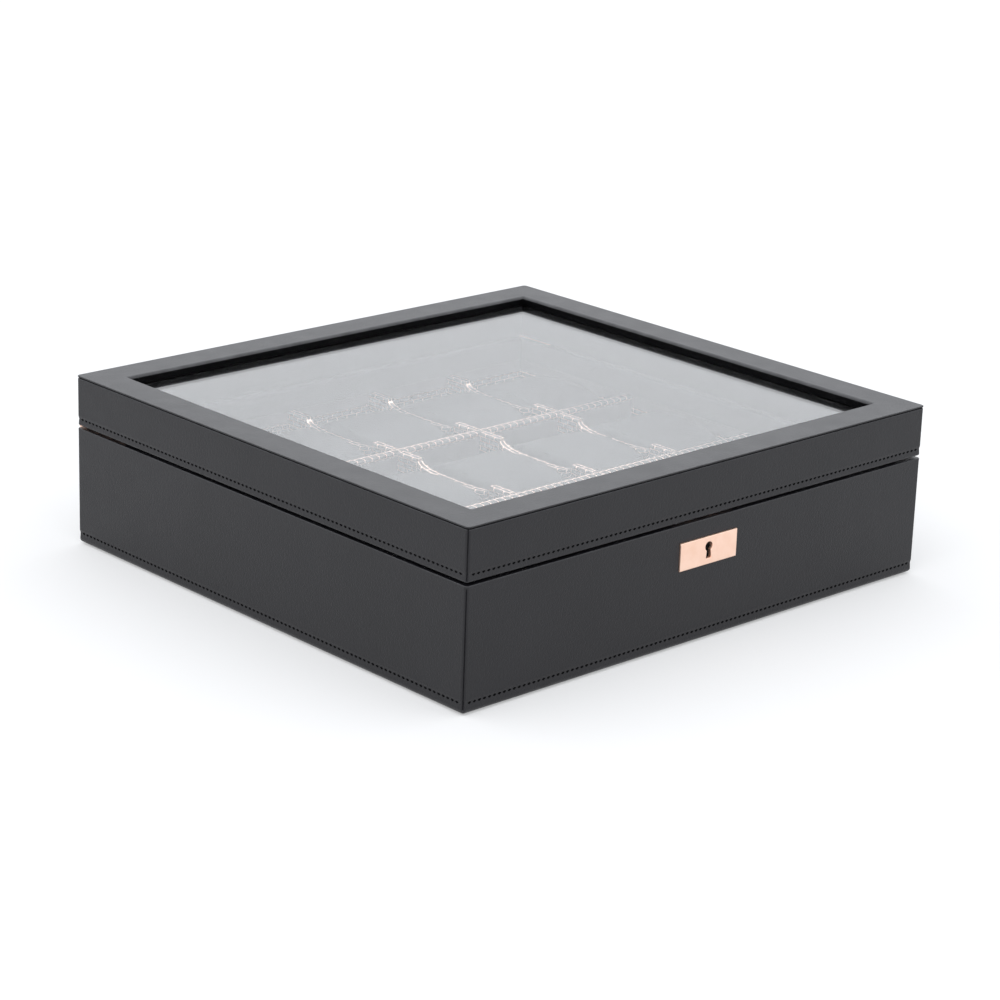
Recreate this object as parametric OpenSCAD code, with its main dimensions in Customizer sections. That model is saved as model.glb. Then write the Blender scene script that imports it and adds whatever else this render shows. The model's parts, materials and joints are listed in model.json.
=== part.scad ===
// Watch box with fifteen cells: a leather-wrapped wooden case with a keyed lock in its front,
// a glazed lid on two side-rail hinges, a half-lapped grid of dividers and a removable cuff in each cell.
// Millimetres. X runs along the lock face, Y to the back and Z up; the origin is the centre of the underside.

/* [Case] */
// Outer width, along the lock face
box_w = 336; // [320:1:360]
// Outer depth, from the lock face to the back
box_d = 320; // [305:1:345]
// Overall height with the lid closed
box_h = 97; // [96:1:104]
// Height of the base's rim above the table
rim_h = 67; // [66:0.5:68]
// Open seam between the rim and the lid
seam = 1; // [0.8:0.1:1.2]
// Radius of the upright corners
corner_r = 2; // [1.5:0.5:4]
// Thickness of the leather wrap
leather_t = 1.2; // [1:0.1:1.4]
// Thickness of the wall boards under the leather
board_t = 14.8; // [14.5:0.1:16]
// Thickness of the floor board
floor_t = 6; // [5:0.5:7]
// Height of the leather's lower edge above the table
leather_lift = 0.5; // [0.3:0.1:0.8]
// Distance from the outer edge to the felt under the case
felt_inset = 6; // [4:0.5:10]

/* [Cells] */
// Cells side by side along X
columns = 5; // [4:1:5]
// Rows of cells from front to back
rows = 3; // [2:1:3]
// Thickness of a covered divider
divider_t = 6; // [4:0.5:7]
// Height of the dividers' top edges above the table
divider_top = 54; // [50:1:56]
// Thickness of the lining panels on the walls
lining_t = 1.5; // [1.3:0.1:2]
// Thickness of the lining on the floor
floor_lining_t = 1.3; // [1:0.1:1.5]
// Clearance all round a half-lap joint
lap_gap = 0.1; // [0.05:0.05:0.2]
// Depth of the scoop in a column divider's top edge beside each cuff
scoop_depth = 5.5; // [2:0.5:6]
// Length of full-height top edge left at each end of a scoop
scoop_land = 16; // [10:1:25]

/* [Cuffs] */
// Gap between a cuff and the divider beside it
cuff_side_gap = 0.7; // [0.5:0.1:2]
// Gap for the watch strap before and behind a cuff
strap_gap = 5; // [5:0.5:8]
// Height of a cuff's crown above the dividers' top edges
cuff_rise = -1; // [-3:0.5:2]
// Exponent of the cuff's rounded section, where 2 is an ellipse
cuff_fullness = 2.6; // [2:0.1:3]

/* [Lid] */
// Width of the lid's leather frame seen from above
frame_w = 20.7; // [20:0.1:24]
// Depth of the glass below the top of the frame
glass_recess = 5; // [4.5:0.5:8]
// Thickness of the glass
glass_t = 3; // [2:0.5:4]
// Thickness of the strips that hold the glass from below
retainer_t = 3; // [2:0.5:4]
// Thickness of the lid's rails below the glass
rail_t = 13.8; // [13:0.1:14.5]
// How far the top leather wraps down over the lid's outer edge
top_wrap = 1.2; // [1.2:0.1:2.5]

/* [Lock] */
// Width of the lock plate on the front
plate_w = 41.8; // [38:0.1:46]
// Height of the lock plate
plate_h = 15.2; // [14:0.1:17]
// How far the lock plate stands proud of the leather
plate_proud = 0.8; // [0.5:0.1:1.2]
// Height of the lock plate's centre above the table
plate_z = 49.7; // [48:0.1:51]
// Radius of the keyhole's round part
key_r = 2.6; // [2.4:0.1:3]
// Height of the keyhole's round part above the plate's centre
key_rise = 2; // [1.5:0.1:2.5]
// Width of the keyhole's slot
key_slot_w = 3.4; // [3:0.1:3.4]
// Travel of the lock's bolt
bolt_travel = 4; // [3.6:0.1:4]

/* [Hinges] */
// Length of a hinge leaf along the side wall
leaf_l = 37.6; // [34:0.1:44]
// Width of a hinge leaf
leaf_w = 9.6; // [9:0.1:10]
// Distance from the side of the box to the leaf
leaf_edge = 4.8; // [2:0.1:5]
// Radius of the hinge knuckles
knuckle_r = 2.4; // [2.2:0.1:2.4]
// Radius of the hinge pins
pin_r = 1.1; // [0.9:0.1:1.2]
// Gap between the two leaves of a hinge when the lid is closed
leaf_gap = 0.3; // [0.2:0.1:0.4]

/* [Hidden] */
$fn = 48;
leather_col = [0.10, 0.10, 0.11];
board_col = [0.62, 0.50, 0.36];
lining_col = [0.30, 0.18, 0.12];
felt_col = [0.08, 0.08, 0.09];
copper_col = [0.86, 0.62, 0.50];
steel_col = [0.70, 0.71, 0.73];
glass_col = [0.80, 0.88, 0.90, 0.35];
cuff_col = [0.07, 0.07, 0.08];

// Case walls, from the outside in: leather, board, lining
board_x = box_w / 2 - leather_t;
board_y = box_d / 2 - leather_t;
wall_x = board_x - board_t;
wall_y = board_y - board_t;
cell_x = wall_x - lining_t;
cell_y = wall_y - lining_t;
board_z0 = leather_lift + leather_t;
board_z1 = rim_h - leather_t;
floor_z = board_z0 + floor_t;
cell_z = floor_z + floor_lining_t;
felt_gap = 0.3;

// Grid of cells
cell_w = (2 * cell_x - (columns - 1) * divider_t) / columns;
cell_d = (2 * cell_y - (rows - 1) * divider_t) / rows;
pitch_x = cell_w + divider_t;
pitch_y = cell_d + divider_t;
divider_mid = (cell_z + divider_top) / 2;
divider_end_gap = 0.2;
cuff_rest_gap = 0.3;
cuff_w = cell_w - 2 * cuff_side_gap;
cuff_l = cell_d - 2 * strap_gap;
cuff_top = divider_top + cuff_rise;
cuff_h = cuff_top - cell_z - cuff_rest_gap;
cuff_sides = 40;

// Lid, from the seam up
lid_z = rim_h + seam;
rail_z0 = lid_z + leather_t;
rail_z1 = box_h - leather_t;
glass_z1 = box_h - glass_recess;
glass_z0 = glass_z1 - glass_t;
retainer_z0 = glass_z0 - retainer_t;
rail_x = board_x - rail_t;
rail_y = board_y - rail_t;
open_x = box_w / 2 - frame_w;
open_y = box_d / 2 - frame_w;
glass_gap = 0.5;
retainer_gap = 0.2;

// Lock: a case let into the front board, its bolt, and a strike under the lid
lock_y = -box_d / 2 + 8.5;
inlay_gap = 0.2;
plate_gap = 0.3;
key_z = plate_z + key_rise;
key_drop = key_z - (plate_z - plate_h / 2) - 3.3;
plate_pin_x = plate_w / 2 - 2.3;
plate_pin_r = 0.8;
plate_pin_l = 5;
case_w = 34;
case_t = 8;
case_z0 = plate_z - 6.2;
case_skin = 1.2;
selvedge_w = 42;
selvedge_d = 9;
selvedge_t = 1.5;
case_z1 = rim_h - selvedge_t;
cover_t = 1;
shoulder_x = 11;
shoulder_z = 55.8;
hook_x = 8;
hook_half = 1.2;
hook_half_y = 2.2;
hook_z = 58.6;
eye_z0 = 59.6;
eye_z1 = 62.6;
eye_half_y = 1.3;
slot_gap = 0.5;
bolt_half_y = 2.4;
bolt_z0 = shoulder_z + 0.3;
bolt_z1 = bolt_z0 + 2;
prong_half_y = 1;
prong_z0 = 60.1;
prong_z1 = 62.1;
prong_gap = 0.6;
post_w = 2;
lug_x = 4;
lug_h = 2;
lock_screw_x = 19;
strike_screw_x = 17;
bumper_r = 4;
bumper_h = 0.9;
bumper_x = board_x - 16;

// Hinges: leaves let into the rim and the lid, knuckles behind the back
hinge_x = box_w / 2 - leaf_edge - leaf_w / 2;
hinge_y = box_d / 2 + knuckle_r + 0.2;
hinge_z = rim_h + seam / 2;
leaf_y1 = box_d / 2 - 0.4;
leaf_y0 = leaf_y1 - leaf_l;
lower_leaf_z1 = hinge_z - leaf_gap / 2;
upper_leaf_z0 = hinge_z + leaf_gap / 2;
knuckle_gap = 0.15;
knuckle_w = (leaf_w - 2 * knuckle_gap) / 3;
pin_fixed_gap = 0.02;
pin_running_gap = 0.06;
pin_end = 0.3;
leaf_screws = [leaf_y0 + 6.5, leaf_y0 + 28];

// Countersunk wood screw
screw_r = 1;
screw_head_r = 2;
screw_head_h = 1.1;
screw_l = 9;
screw_gap = 0.05;
screw_slot_w = 0.5;
screw_slot_h = 0.5;

// ---- Shared shapes ----

// A block between two opposite corners
module block(low, high) {
    translate(low) cube(high - low);
}

// A rectangle with true arcs at its corners
module rounded_rect(w, d, r) {
    square([w - 2 * r, d], center = true);
    square([w, d - 2 * r], center = true);
    for (sx = [-1, 1], sy = [-1, 1])
        translate([sx * (w / 2 - r), sy * (d / 2 - r)]) circle(r = r);
}

// A flat slab with rounded corners between two heights
module slab(w, d, r, z0, z1) {
    translate([0, 0, z0]) linear_extrude(z1 - z0) rounded_rect(w, d, r);
}

// The box's outer outline, from the outside in to a square-cornered opening of half sizes hx and hy
module outer_ring(hx, hy, z0, z1) {
    translate([0, 0, z0]) linear_extrude(z1 - z0) difference() {
        rounded_rect(box_w, box_d, corner_r);
        square([2 * hx, 2 * hy], center = true);
    }
}

// The leather on the four outer sides
module side_skin(z0, z1) {
    translate([0, 0, z0]) linear_extrude(z1 - z0) difference() {
        rounded_rect(box_w, box_d, corner_r);
        rounded_rect(2 * board_x, 2 * board_y, corner_r - leather_t);
    }
}

// A square-cornered ring between two pairs of half sizes
module inner_ring(hx, hy, t, z0, z1) {
    translate([0, 0, z0]) linear_extrude(z1 - z0) difference() {
        square([2 * hx, 2 * hy], center = true);
        square([2 * (hx - t), 2 * (hy - t)], center = true);
    }
}

// Everything inside the leather wrap, from which boards and rails are cut
module timber(z0, z1) {
    slab(2 * board_x, 2 * board_y, corner_r - leather_t, z0, z1);
}

// A screw pointing down from its head's face at the origin
module screw() {
    difference() {
        union() {
            translate([0, 0, -screw_head_h]) cylinder(r1 = screw_r, r2 = screw_head_r, h = screw_head_h);
            translate([0, 0, -screw_l]) cylinder(r = screw_r, h = screw_l - screw_head_h);
        }
        block([-screw_head_r, -screw_slot_w / 2, -screw_slot_h], [screw_head_r, screw_slot_w / 2, 1]);
    }
}

// The hole that a screw sits in
module screw_hole() {
    translate([0, 0, -screw_head_h])
        cylinder(r1 = screw_r + screw_gap, r2 = screw_head_r + screw_gap, h = screw_head_h);
    translate([0, 0, -screw_l - screw_gap]) cylinder(r = screw_r + screw_gap, h = screw_l);
}

// ---- Base ----

module base_felt() {
    inset = felt_inset + felt_gap;
    color(felt_col) slab(box_w - 2 * inset, box_d - 2 * inset, corner_r, 0, board_z0);
}

module base_leather() {
    color(leather_col) difference() {
        union() {
            side_skin(leather_lift, rim_h);
            outer_ring(box_w / 2 - felt_inset, box_d / 2 - felt_inset, leather_lift, board_z0);
            outer_ring(wall_x - leather_t, wall_y - leather_t, board_z1, rim_h);
            inner_ring(wall_x, wall_y, leather_t, divider_top, rim_h);
        }
        lock_plate_recess();
        selvedge_recess();
        leaf_recesses(board_z1, rim_h + seam);
    }
}

module base_front_board() {
    color(board_col) difference() {
        intersection() {
            timber(board_z0, board_z1);
            block([-box_w, -box_d, 0], [box_w, -wall_y, box_h]);
        }
        block([-case_w / 2 - inlay_gap, lock_y - case_t / 2 - inlay_gap, case_z0 - inlay_gap],
              [case_w / 2 + inlay_gap, lock_y + case_t / 2 + inlay_gap, box_h]);
        selvedge_recess();
        keyhole(-box_d, lock_y, 0.6);
        plate_pins(screw_gap);
        lock_screw_places() screw_hole();
    }
}

module base_back_board() {
    color(board_col) difference() {
        intersection() {
            timber(board_z0, board_z1);
            block([-box_w, wall_y, 0], [box_w, box_d, box_h]);
        }
        lower_screw_places() screw_hole();
    }
}

module base_side_board(side) {
    color(board_col) difference() {
        block([side > 0 ? wall_x : -board_x, -wall_y, board_z0],
              [side > 0 ? board_x : -wall_x, wall_y, board_z1]);
        lower_screw_places() screw_hole();
    }
}

module base_floor_board() {
    color(board_col) block([-wall_x, -wall_y, board_z0], [wall_x, wall_y, floor_z]);
}

module floor_lining() {
    color(lining_col) block([-wall_x, -wall_y, floor_z], [wall_x, wall_y, cell_z]);
}

// A lining panel across the front (side -1) or the back (side 1)
module lining_across(side) {
    color(lining_col) block([-wall_x, side > 0 ? cell_y : -wall_y, cell_z],
                            [wall_x, side > 0 ? wall_y : -cell_y, divider_top]);
}

// A lining panel along the left (side -1) or the right (side 1)
module lining_along(side) {
    color(lining_col) block([side > 0 ? cell_x : -wall_x, -cell_y, cell_z],
                            [side > 0 ? wall_x : -cell_x, cell_y, divider_top]);
}

module rim_bumpers() {
    color(felt_col) for (sx = [-1, 1])
        translate([sx * bumper_x, lock_y, rim_h]) cylinder(r = bumper_r, h = bumper_h);
}

// ---- Dividers ----

function column_joint_x(n) = -cell_x + n * pitch_x - divider_t / 2;
function row_joint_y(n) = -cell_y + n * pitch_y - divider_t / 2;
function cell_mid_x(column) = -cell_x + cell_w / 2 + column * pitch_x;
function cell_mid_y(row) = -cell_y + cell_d / 2 + row * pitch_y;

// Points of a superellipse with half sizes a and b
function superellipse(a, b, e, n) = [
    for (i = [0:n - 1])
        let (c = cos(360 * i / n), s = sin(360 * i / n))
            [a * sign(c) * pow(abs(c), 2 / e), b * sign(s) * pow(abs(s), 2 / e)]
];

// Runs from front to back, notched from above and scooped beside the cuffs
module column_divider(n) {
    x = column_joint_x(n);
    end_y = cell_y - divider_end_gap;
    notch = divider_t / 2 + lap_gap;
    color(lining_col) difference() {
        block([x - divider_t / 2, -end_y, cell_z], [x + divider_t / 2, end_y, divider_top]);
        for (m = [1:rows - 1])
            block([x - divider_t, row_joint_y(m) - notch, divider_mid - lap_gap],
                  [x + divider_t, row_joint_y(m) + notch, box_h]);
        for (row = [0:rows - 1])
            translate([x, cell_mid_y(row), divider_top]) rotate([90, 0, 90])
                linear_extrude(2 * divider_t, center = true)
                    polygon(superellipse(cell_d / 2 - scoop_land, scoop_depth, 3, 48));
    }
}

// Runs from left to right and is notched from below
module row_divider(n) {
    y = row_joint_y(n);
    end_x = cell_x - divider_end_gap;
    notch = divider_t / 2 + lap_gap;
    color(lining_col) difference() {
        block([-end_x, y - divider_t / 2, cell_z], [end_x, y + divider_t / 2, divider_top]);
        for (m = [1:columns - 1])
            block([column_joint_x(m) - notch, y - divider_t, 0],
                  [column_joint_x(m) + notch, y + divider_t, divider_mid + lap_gap]);
    }
}

// ---- Cuffs ----

// Cuffs are counted from the front left cell, along X and then to the back
module watch_cuff(n) {
    x = cell_mid_x((n - 1) % columns);
    y = cell_mid_y(floor((n - 1) / columns));
    color(cuff_col) translate([x, y, cuff_top - cuff_h / 2]) rotate([90, 0, 90])
        linear_extrude(cuff_w, center = true)
            polygon(superellipse(cuff_l / 2, cuff_h / 2, cuff_fullness, cuff_sides));
}

// ---- Lock ----

// The keyhole's outline carried from y0 back to y1, grown all round
module keyhole(y0, y1, grow) {
    translate([0, y1, key_z]) rotate([90, 0, 0]) linear_extrude(y1 - y0) {
        circle(r = key_r + grow);
        translate([-key_slot_w / 2 - grow, -key_drop - grow])
            square([key_slot_w + 2 * grow, key_drop + grow]);
    }
}

module lock_plate_recess() {
    block([-plate_w / 2 - plate_gap, -box_d, plate_z - plate_h / 2 - plate_gap],
          [plate_w / 2 + plate_gap, -board_y, plate_z + plate_h / 2 + plate_gap]);
}

module selvedge_recess() {
    block([-selvedge_w / 2 - inlay_gap, lock_y - selvedge_d / 2 - inlay_gap, case_z1],
          [selvedge_w / 2 + inlay_gap, lock_y + selvedge_d / 2 + inlay_gap, box_h]);
}

module plate_pins(grow) {
    for (sx = [-1, 1]) translate([sx * plate_pin_x, -board_y + plate_pin_l + grow, plate_z])
        rotate([90, 0, 0]) cylinder(r = plate_pin_r + grow, h = plate_pin_l + grow);
}

module lock_screw_places() {
    for (sx = [-1, 1]) translate([sx * lock_screw_x, lock_y, rim_h]) children();
}

module strike_screw_places() {
    for (sx = [-1, 1]) translate([sx * strike_screw_x, lock_y, lid_z]) rotate([180, 0, 0]) children();
}

module lock_plate() {
    color(copper_col) difference() {
        block([-plate_w / 2, -box_d / 2 - plate_proud, plate_z - plate_h / 2],
              [plate_w / 2, -board_y, plate_z + plate_h / 2]);
        keyhole(-box_d, 0, 0);
    }
}

module lock_plate_pins() {
    color(copper_col) plate_pins(0);
}

// Tray and top plate of the lock, open to the back where the cover closes it
module lock_case() {
    cavity_x = case_w / 2 - case_skin;
    cavity_y0 = lock_y - case_t / 2 + case_skin;
    cavity_y1 = lock_y + case_t / 2;
    color(steel_col) difference() {
        union() {
            block([-case_w / 2, lock_y - case_t / 2, case_z0], [case_w / 2, cavity_y1 - cover_t, case_z1]);
            block([-selvedge_w / 2, lock_y - selvedge_d / 2, case_z1],
                  [selvedge_w / 2, lock_y + selvedge_d / 2, rim_h]);
        }
        block([-cavity_x, cavity_y0, shoulder_z], [cavity_x, cavity_y1, case_z1]);
        block([-shoulder_x, cavity_y0, case_z0 + case_skin], [shoulder_x, cavity_y1, case_z1]);
        for (sx = [-1, 1])
            block([sx * hook_x - hook_half - slot_gap, lock_y - hook_half_y - slot_gap, case_z1 - 1],
                  [sx * hook_x + hook_half + slot_gap, lock_y + hook_half_y + slot_gap, box_h]);
        keyhole(-box_d, lock_y, 0.4);
        lock_screw_places() screw_hole();
    }
}

module lock_cover() {
    color(steel_col) block([-case_w / 2, lock_y + case_t / 2 - cover_t, case_z0],
                           [case_w / 2, lock_y + case_t / 2, case_z1]);
}

module lock_screws() {
    color(steel_col) lock_screw_places() screw();
}

// A bar with two lugs for the key below it and two prongs that slide into the strike's eyes
module lock_bolt() {
    bar_x0 = -case_w / 2 + case_skin + prong_gap;
    bar_x1 = case_w / 2 - case_skin - bolt_travel - 1;
    color(steel_col) {
        block([bar_x0, lock_y - bolt_half_y, bolt_z0], [bar_x1, lock_y + bolt_half_y, bolt_z1]);
        for (sx = [-1, 1]) {
            tip = sx * hook_x - hook_half - prong_gap;
            post = tip - bolt_travel + prong_gap / 3;
            block([post - post_w, lock_y - prong_half_y, prong_z0], [tip, lock_y + prong_half_y, prong_z1]);
            block([post - post_w, lock_y - prong_half_y, bolt_z1], [post, lock_y + prong_half_y, prong_z1]);
            block([sx * lug_x - 1, lock_y - prong_half_y, bolt_z0 - lug_h],
                  [sx * lug_x + 1, lock_y + prong_half_y, bolt_z0]);
        }
    }
}

// Plate under the lid's front rail, with two eyes that drop into the lock
module strike_plate() {
    color(copper_col) difference() {
        union() {
            block([-selvedge_w / 2, lock_y - selvedge_d / 2, lid_z],
                  [selvedge_w / 2, lock_y + selvedge_d / 2, lid_z + selvedge_t]);
            for (sx = [-1, 1])
                block([sx * hook_x - hook_half, lock_y - hook_half_y, hook_z],
                      [sx * hook_x + hook_half, lock_y + hook_half_y, lid_z]);
        }
        for (sx = [-1, 1])
            block([sx * hook_x - 2 * hook_half, lock_y - eye_half_y, eye_z0],
                  [sx * hook_x + 2 * hook_half, lock_y + eye_half_y, eye_z1]);
        strike_screw_places() screw_hole();
    }
}

module strike_screws() {
    color(copper_col) strike_screw_places() screw();
}

module strike_recess() {
    block([-selvedge_w / 2 - inlay_gap, lock_y - selvedge_d / 2 - inlay_gap, 0],
          [selvedge_w / 2 + inlay_gap, lock_y + selvedge_d / 2 + inlay_gap, lid_z + selvedge_t]);
}

// ---- Hinges ----

// Room in the leather for both leaves and their knuckles
module leaf_recesses(z0, z1) {
    for (sx = [-1, 1]) translate([sx * hinge_x, 0, 0])
        block([-leaf_w / 2 - inlay_gap, leaf_y0 - inlay_gap, z0], [leaf_w / 2 + inlay_gap, box_d, z1]);
}

module lower_screw_places() {
    for (sx = [-1, 1], y = leaf_screws) translate([sx * hinge_x, y, lower_leaf_z1]) children();
}

module upper_screw_places() {
    for (sx = [-1, 1], y = leaf_screws)
        translate([sx * hinge_x, y, upper_leaf_z0]) rotate([180, 0, 0]) children();
}

// A knuckle on the hinge axis, with the tongue that joins it to its leaf, from x0 to x1
module knuckle(x0, x1, z0, z1) {
    translate([x0, hinge_y, hinge_z]) rotate([0, 90, 0]) cylinder(r = knuckle_r, h = x1 - x0);
    block([x0, leaf_y1, z0], [x1, hinge_y, z1]);
}

module pin_bore(side, r) {
    translate([side * hinge_x - leaf_w, hinge_y, hinge_z]) rotate([0, 90, 0]) cylinder(r = r, h = 2 * leaf_w);
}

// Leaf on the rim, with the two outer knuckles
module hinge_lower_leaf(side) {
    x0 = side * hinge_x - leaf_w / 2;
    x1 = side * hinge_x + leaf_w / 2;
    color(copper_col) difference() {
        union() {
            block([x0, leaf_y0, board_z1], [x1, leaf_y1, lower_leaf_z1]);
            knuckle(x0, x0 + knuckle_w, board_z1, lower_leaf_z1);
            knuckle(x1 - knuckle_w, x1, board_z1, lower_leaf_z1);
        }
        pin_bore(side, pin_r + pin_fixed_gap);
        lower_screw_places() screw_hole();
    }
}

// Leaf under the lid, with the middle knuckle
module hinge_upper_leaf(side) {
    x0 = side * hinge_x - leaf_w / 2;
    x1 = side * hinge_x + leaf_w / 2;
    middle = knuckle_w + knuckle_gap;
    color(copper_col) difference() {
        union() {
            block([x0, leaf_y0, upper_leaf_z0], [x1, leaf_y1, rail_z0]);
            knuckle(x0 + middle, x1 - middle, upper_leaf_z0, rail_z0);
        }
        pin_bore(side, pin_r + pin_running_gap);
        upper_screw_places() screw_hole();
    }
}

module hinge_pin(side) {
    color(steel_col) translate([side * hinge_x - leaf_w / 2 - pin_end, hinge_y, hinge_z])
        rotate([0, 90, 0]) cylinder(r = pin_r, h = leaf_w + 2 * pin_end);
}

module hinge_lower_screws() {
    color(steel_col) lower_screw_places() screw();
}

module hinge_upper_screws() {
    color(steel_col) upper_screw_places() screw();
}

// ---- Lid ----

// A rail across the front (side -1) or the back (side 1): a deep wall with a lip over the glass
module lid_rail_across(side) {
    color(board_col) difference() {
        intersection() {
            timber(rail_z0, rail_z1);
            union() {
                block([-box_w, side > 0 ? rail_y : -box_d, 0], [box_w, side > 0 ? box_d : -rail_y, box_h]);
                block([-box_w, side > 0 ? open_y + leather_t : -box_d, glass_z1],
                      [box_w, side > 0 ? box_d : -open_y - leather_t, box_h]);
            }
        }
        strike_recess();
        strike_screw_places() screw_hole();
        upper_screw_places() screw_hole();
    }
}

// A rail along the left (side -1) or the right (side 1), between the other two
module lid_rail_along(side) {
    lip_x = open_x + leather_t;
    lip_y = open_y + leather_t;
    color(board_col) difference() {
        union() {
            block([side > 0 ? rail_x : -board_x, -rail_y, rail_z0],
                  [side > 0 ? board_x : -rail_x, rail_y, glass_z1]);
            block([side > 0 ? lip_x : -board_x, -lip_y, glass_z1],
                  [side > 0 ? board_x : -lip_x, lip_y, rail_z1]);
        }
        upper_screw_places() screw_hole();
    }
}

module lid_top_leather() {
    color(leather_col) {
        outer_ring(open_x, open_y, rail_z1, box_h);
        side_skin(box_h - top_wrap, box_h);
        inner_ring(open_x + leather_t, open_y + leather_t, leather_t, glass_z1, box_h);
    }
}

module lid_side_leather() {
    color(leather_col) difference() {
        union() {
            side_skin(lid_z, box_h - top_wrap);
            outer_ring(rail_x - leather_t, rail_y - leather_t, lid_z, rail_z0);
            inner_ring(rail_x, rail_y, leather_t, lid_z, retainer_z0);
        }
        strike_recess();
        leaf_recesses(0, rail_z0);
    }
}

module lid_glass() {
    color(glass_col) block([-rail_x + glass_gap, -rail_y + glass_gap, glass_z0],
                           [rail_x - glass_gap, rail_y - glass_gap, glass_z1]);
}

// Four strips pinned round the rails below the glass
module glass_retainer() {
    outer_x = rail_x - retainer_gap;
    outer_y = rail_y - retainer_gap;
    color(board_col) for (side = [-1, 1]) {
        block([-outer_x, side > 0 ? open_y : -outer_y, retainer_z0],
              [outer_x, side > 0 ? outer_y : -open_y, glass_z0]);
        block([side > 0 ? open_x : -outer_x, -open_y + retainer_gap, retainer_z0],
              [side > 0 ? outer_x : -open_x, open_y - retainer_gap, glass_z0]);
    }
}

// ---- The sub-parts ----

base_felt();
base_leather();
base_front_board();
base_back_board();
base_side_board(-1);  // base_left_board
base_side_board(1);  // base_right_board
base_floor_board();
floor_lining();
lining_across(-1);  // lining_front
lining_across(1);  // lining_back
lining_along(-1);  // lining_left
lining_along(1);  // lining_right
for (n = [1:rows - 1])
    row_divider(n);
for (n = [1:columns - 1])
    column_divider(n);
lock_plate();
lock_plate_pins();
lock_case();
lock_cover();
lock_screws();
lock_bolt();
rim_bumpers();
hinge_lower_leaf(-1);  // hinge_lower_leaf_left
hinge_lower_leaf(1);  // hinge_lower_leaf_right
hinge_pin(-1);  // hinge_pin_left
hinge_pin(1);  // hinge_pin_right
hinge_lower_screws();
lid_rail_across(-1);  // lid_front_rail
lid_rail_across(1);  // lid_back_rail
lid_rail_along(-1);  // lid_left_rail
lid_rail_along(1);  // lid_right_rail
lid_top_leather();
lid_side_leather();
lid_glass();
glass_retainer();
strike_plate();
strike_screws();
hinge_upper_leaf(-1);  // hinge_upper_leaf_left
hinge_upper_leaf(1);  // hinge_upper_leaf_right
hinge_upper_screws();
for (n = [1:columns * rows])
    watch_cuff(n);
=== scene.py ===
"""The looks of a leather-wrapped watch box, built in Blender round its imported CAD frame.

Places are in metres in the frame's own axes: X along the lock face, Y towards the hinges, Z up.
Sizes in the dataclass fields are in millimetres and are multiplied by MM where a mesh is worked out.
"""

import json
import logging
import math
from dataclasses import dataclass, field
from enum import Enum

import bmesh
import bpy
import numpy as np
from mathutils import Matrix, Vector


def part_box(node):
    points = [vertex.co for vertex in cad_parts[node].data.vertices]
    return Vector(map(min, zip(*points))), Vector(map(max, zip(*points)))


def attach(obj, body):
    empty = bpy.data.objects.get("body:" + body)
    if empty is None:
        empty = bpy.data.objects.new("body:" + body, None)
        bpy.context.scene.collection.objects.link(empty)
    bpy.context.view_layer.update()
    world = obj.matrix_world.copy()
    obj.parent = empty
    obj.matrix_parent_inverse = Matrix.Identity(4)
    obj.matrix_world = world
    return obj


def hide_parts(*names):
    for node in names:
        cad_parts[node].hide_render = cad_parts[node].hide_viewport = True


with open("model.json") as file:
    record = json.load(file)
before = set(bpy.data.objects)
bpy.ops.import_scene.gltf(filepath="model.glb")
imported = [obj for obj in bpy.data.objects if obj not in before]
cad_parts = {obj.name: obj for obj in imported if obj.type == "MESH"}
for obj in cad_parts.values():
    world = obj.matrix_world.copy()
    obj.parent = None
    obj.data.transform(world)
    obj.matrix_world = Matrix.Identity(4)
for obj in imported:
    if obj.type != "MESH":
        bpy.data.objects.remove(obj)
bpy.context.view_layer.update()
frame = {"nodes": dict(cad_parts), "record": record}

MM = 0.001
SMOOTH_ANGLE = math.radians(38)

Array = np.ndarray
Colour = tuple[float, float, float]
Value = float | bpy.types.NodeSocket

logging.basicConfig(level=logging.INFO, format="%(name)s: %(message)s")
log = logging.getLogger("watch_box")


class Body(str, Enum):
    """The bodies of the frame that new pieces ride on, apart from the cuffs' own."""

    BASE = "base"
    LID = "lid"


class Slot(str, Enum):
    """The record's material slots that new pieces take their finish from."""

    LEATHER = "black_leather"
    CUFF = "cuff_leather"
    LINING = "printed_lining"
    COPPER = "copper"


class Coordinates(Enum):
    """Where a pattern takes its place from: the piece's own axes, or a UV map that follows the surface."""

    OBJECT = "Object"
    SURFACE = "UV"


@dataclass(frozen=True)
class Box:
    """An upright box between two corners, in metres."""

    lo: Vector
    hi: Vector

    @classmethod
    def of(cls, *nodes: str) -> "Box":
        """Returns the box round the named CAD nodes."""
        corners = [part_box(node) for node in nodes]
        lows, highs = zip(*corners)
        return cls(Vector(map(min, *lows)) if len(lows) > 1 else lows[0],
                   Vector(map(max, *highs)) if len(highs) > 1 else highs[0])

    @property
    def centre(self) -> Vector:
        """The box's middle."""
        return (self.lo + self.hi) / 2

    @property
    def size(self) -> Vector:
        """The box's three side lengths."""
        return self.hi - self.lo


# ---- Meshes ----


def grid_faces(rows: int, columns: int, close_rows: bool, close_columns: bool) -> list[list[int]]:
    """Joins neighbouring points of a grid into quads.

    The quad at (i, j) takes points i, i + 1 and j, j + 1, counted round to the start where the grid
    is closed.

    Args:
        rows: number of points along the first parameter.
        columns: number of points along the second parameter.
        close_rows: joins the last row to the first.
        close_columns: joins the last column to the first.

    Returns:
        Four point numbers for each quad.
    """
    i, j = np.meshgrid(np.arange(rows if close_rows else rows - 1),
                       np.arange(columns if close_columns else columns - 1), indexing="ij")
    i_next, j_next = (i + 1) % rows, (j + 1) % columns
    quads = np.stack([i * columns + j, i_next * columns + j,
                      i_next * columns + j_next, i * columns + j_next], axis=-1)
    return quads.reshape(-1, 4).tolist()


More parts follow.
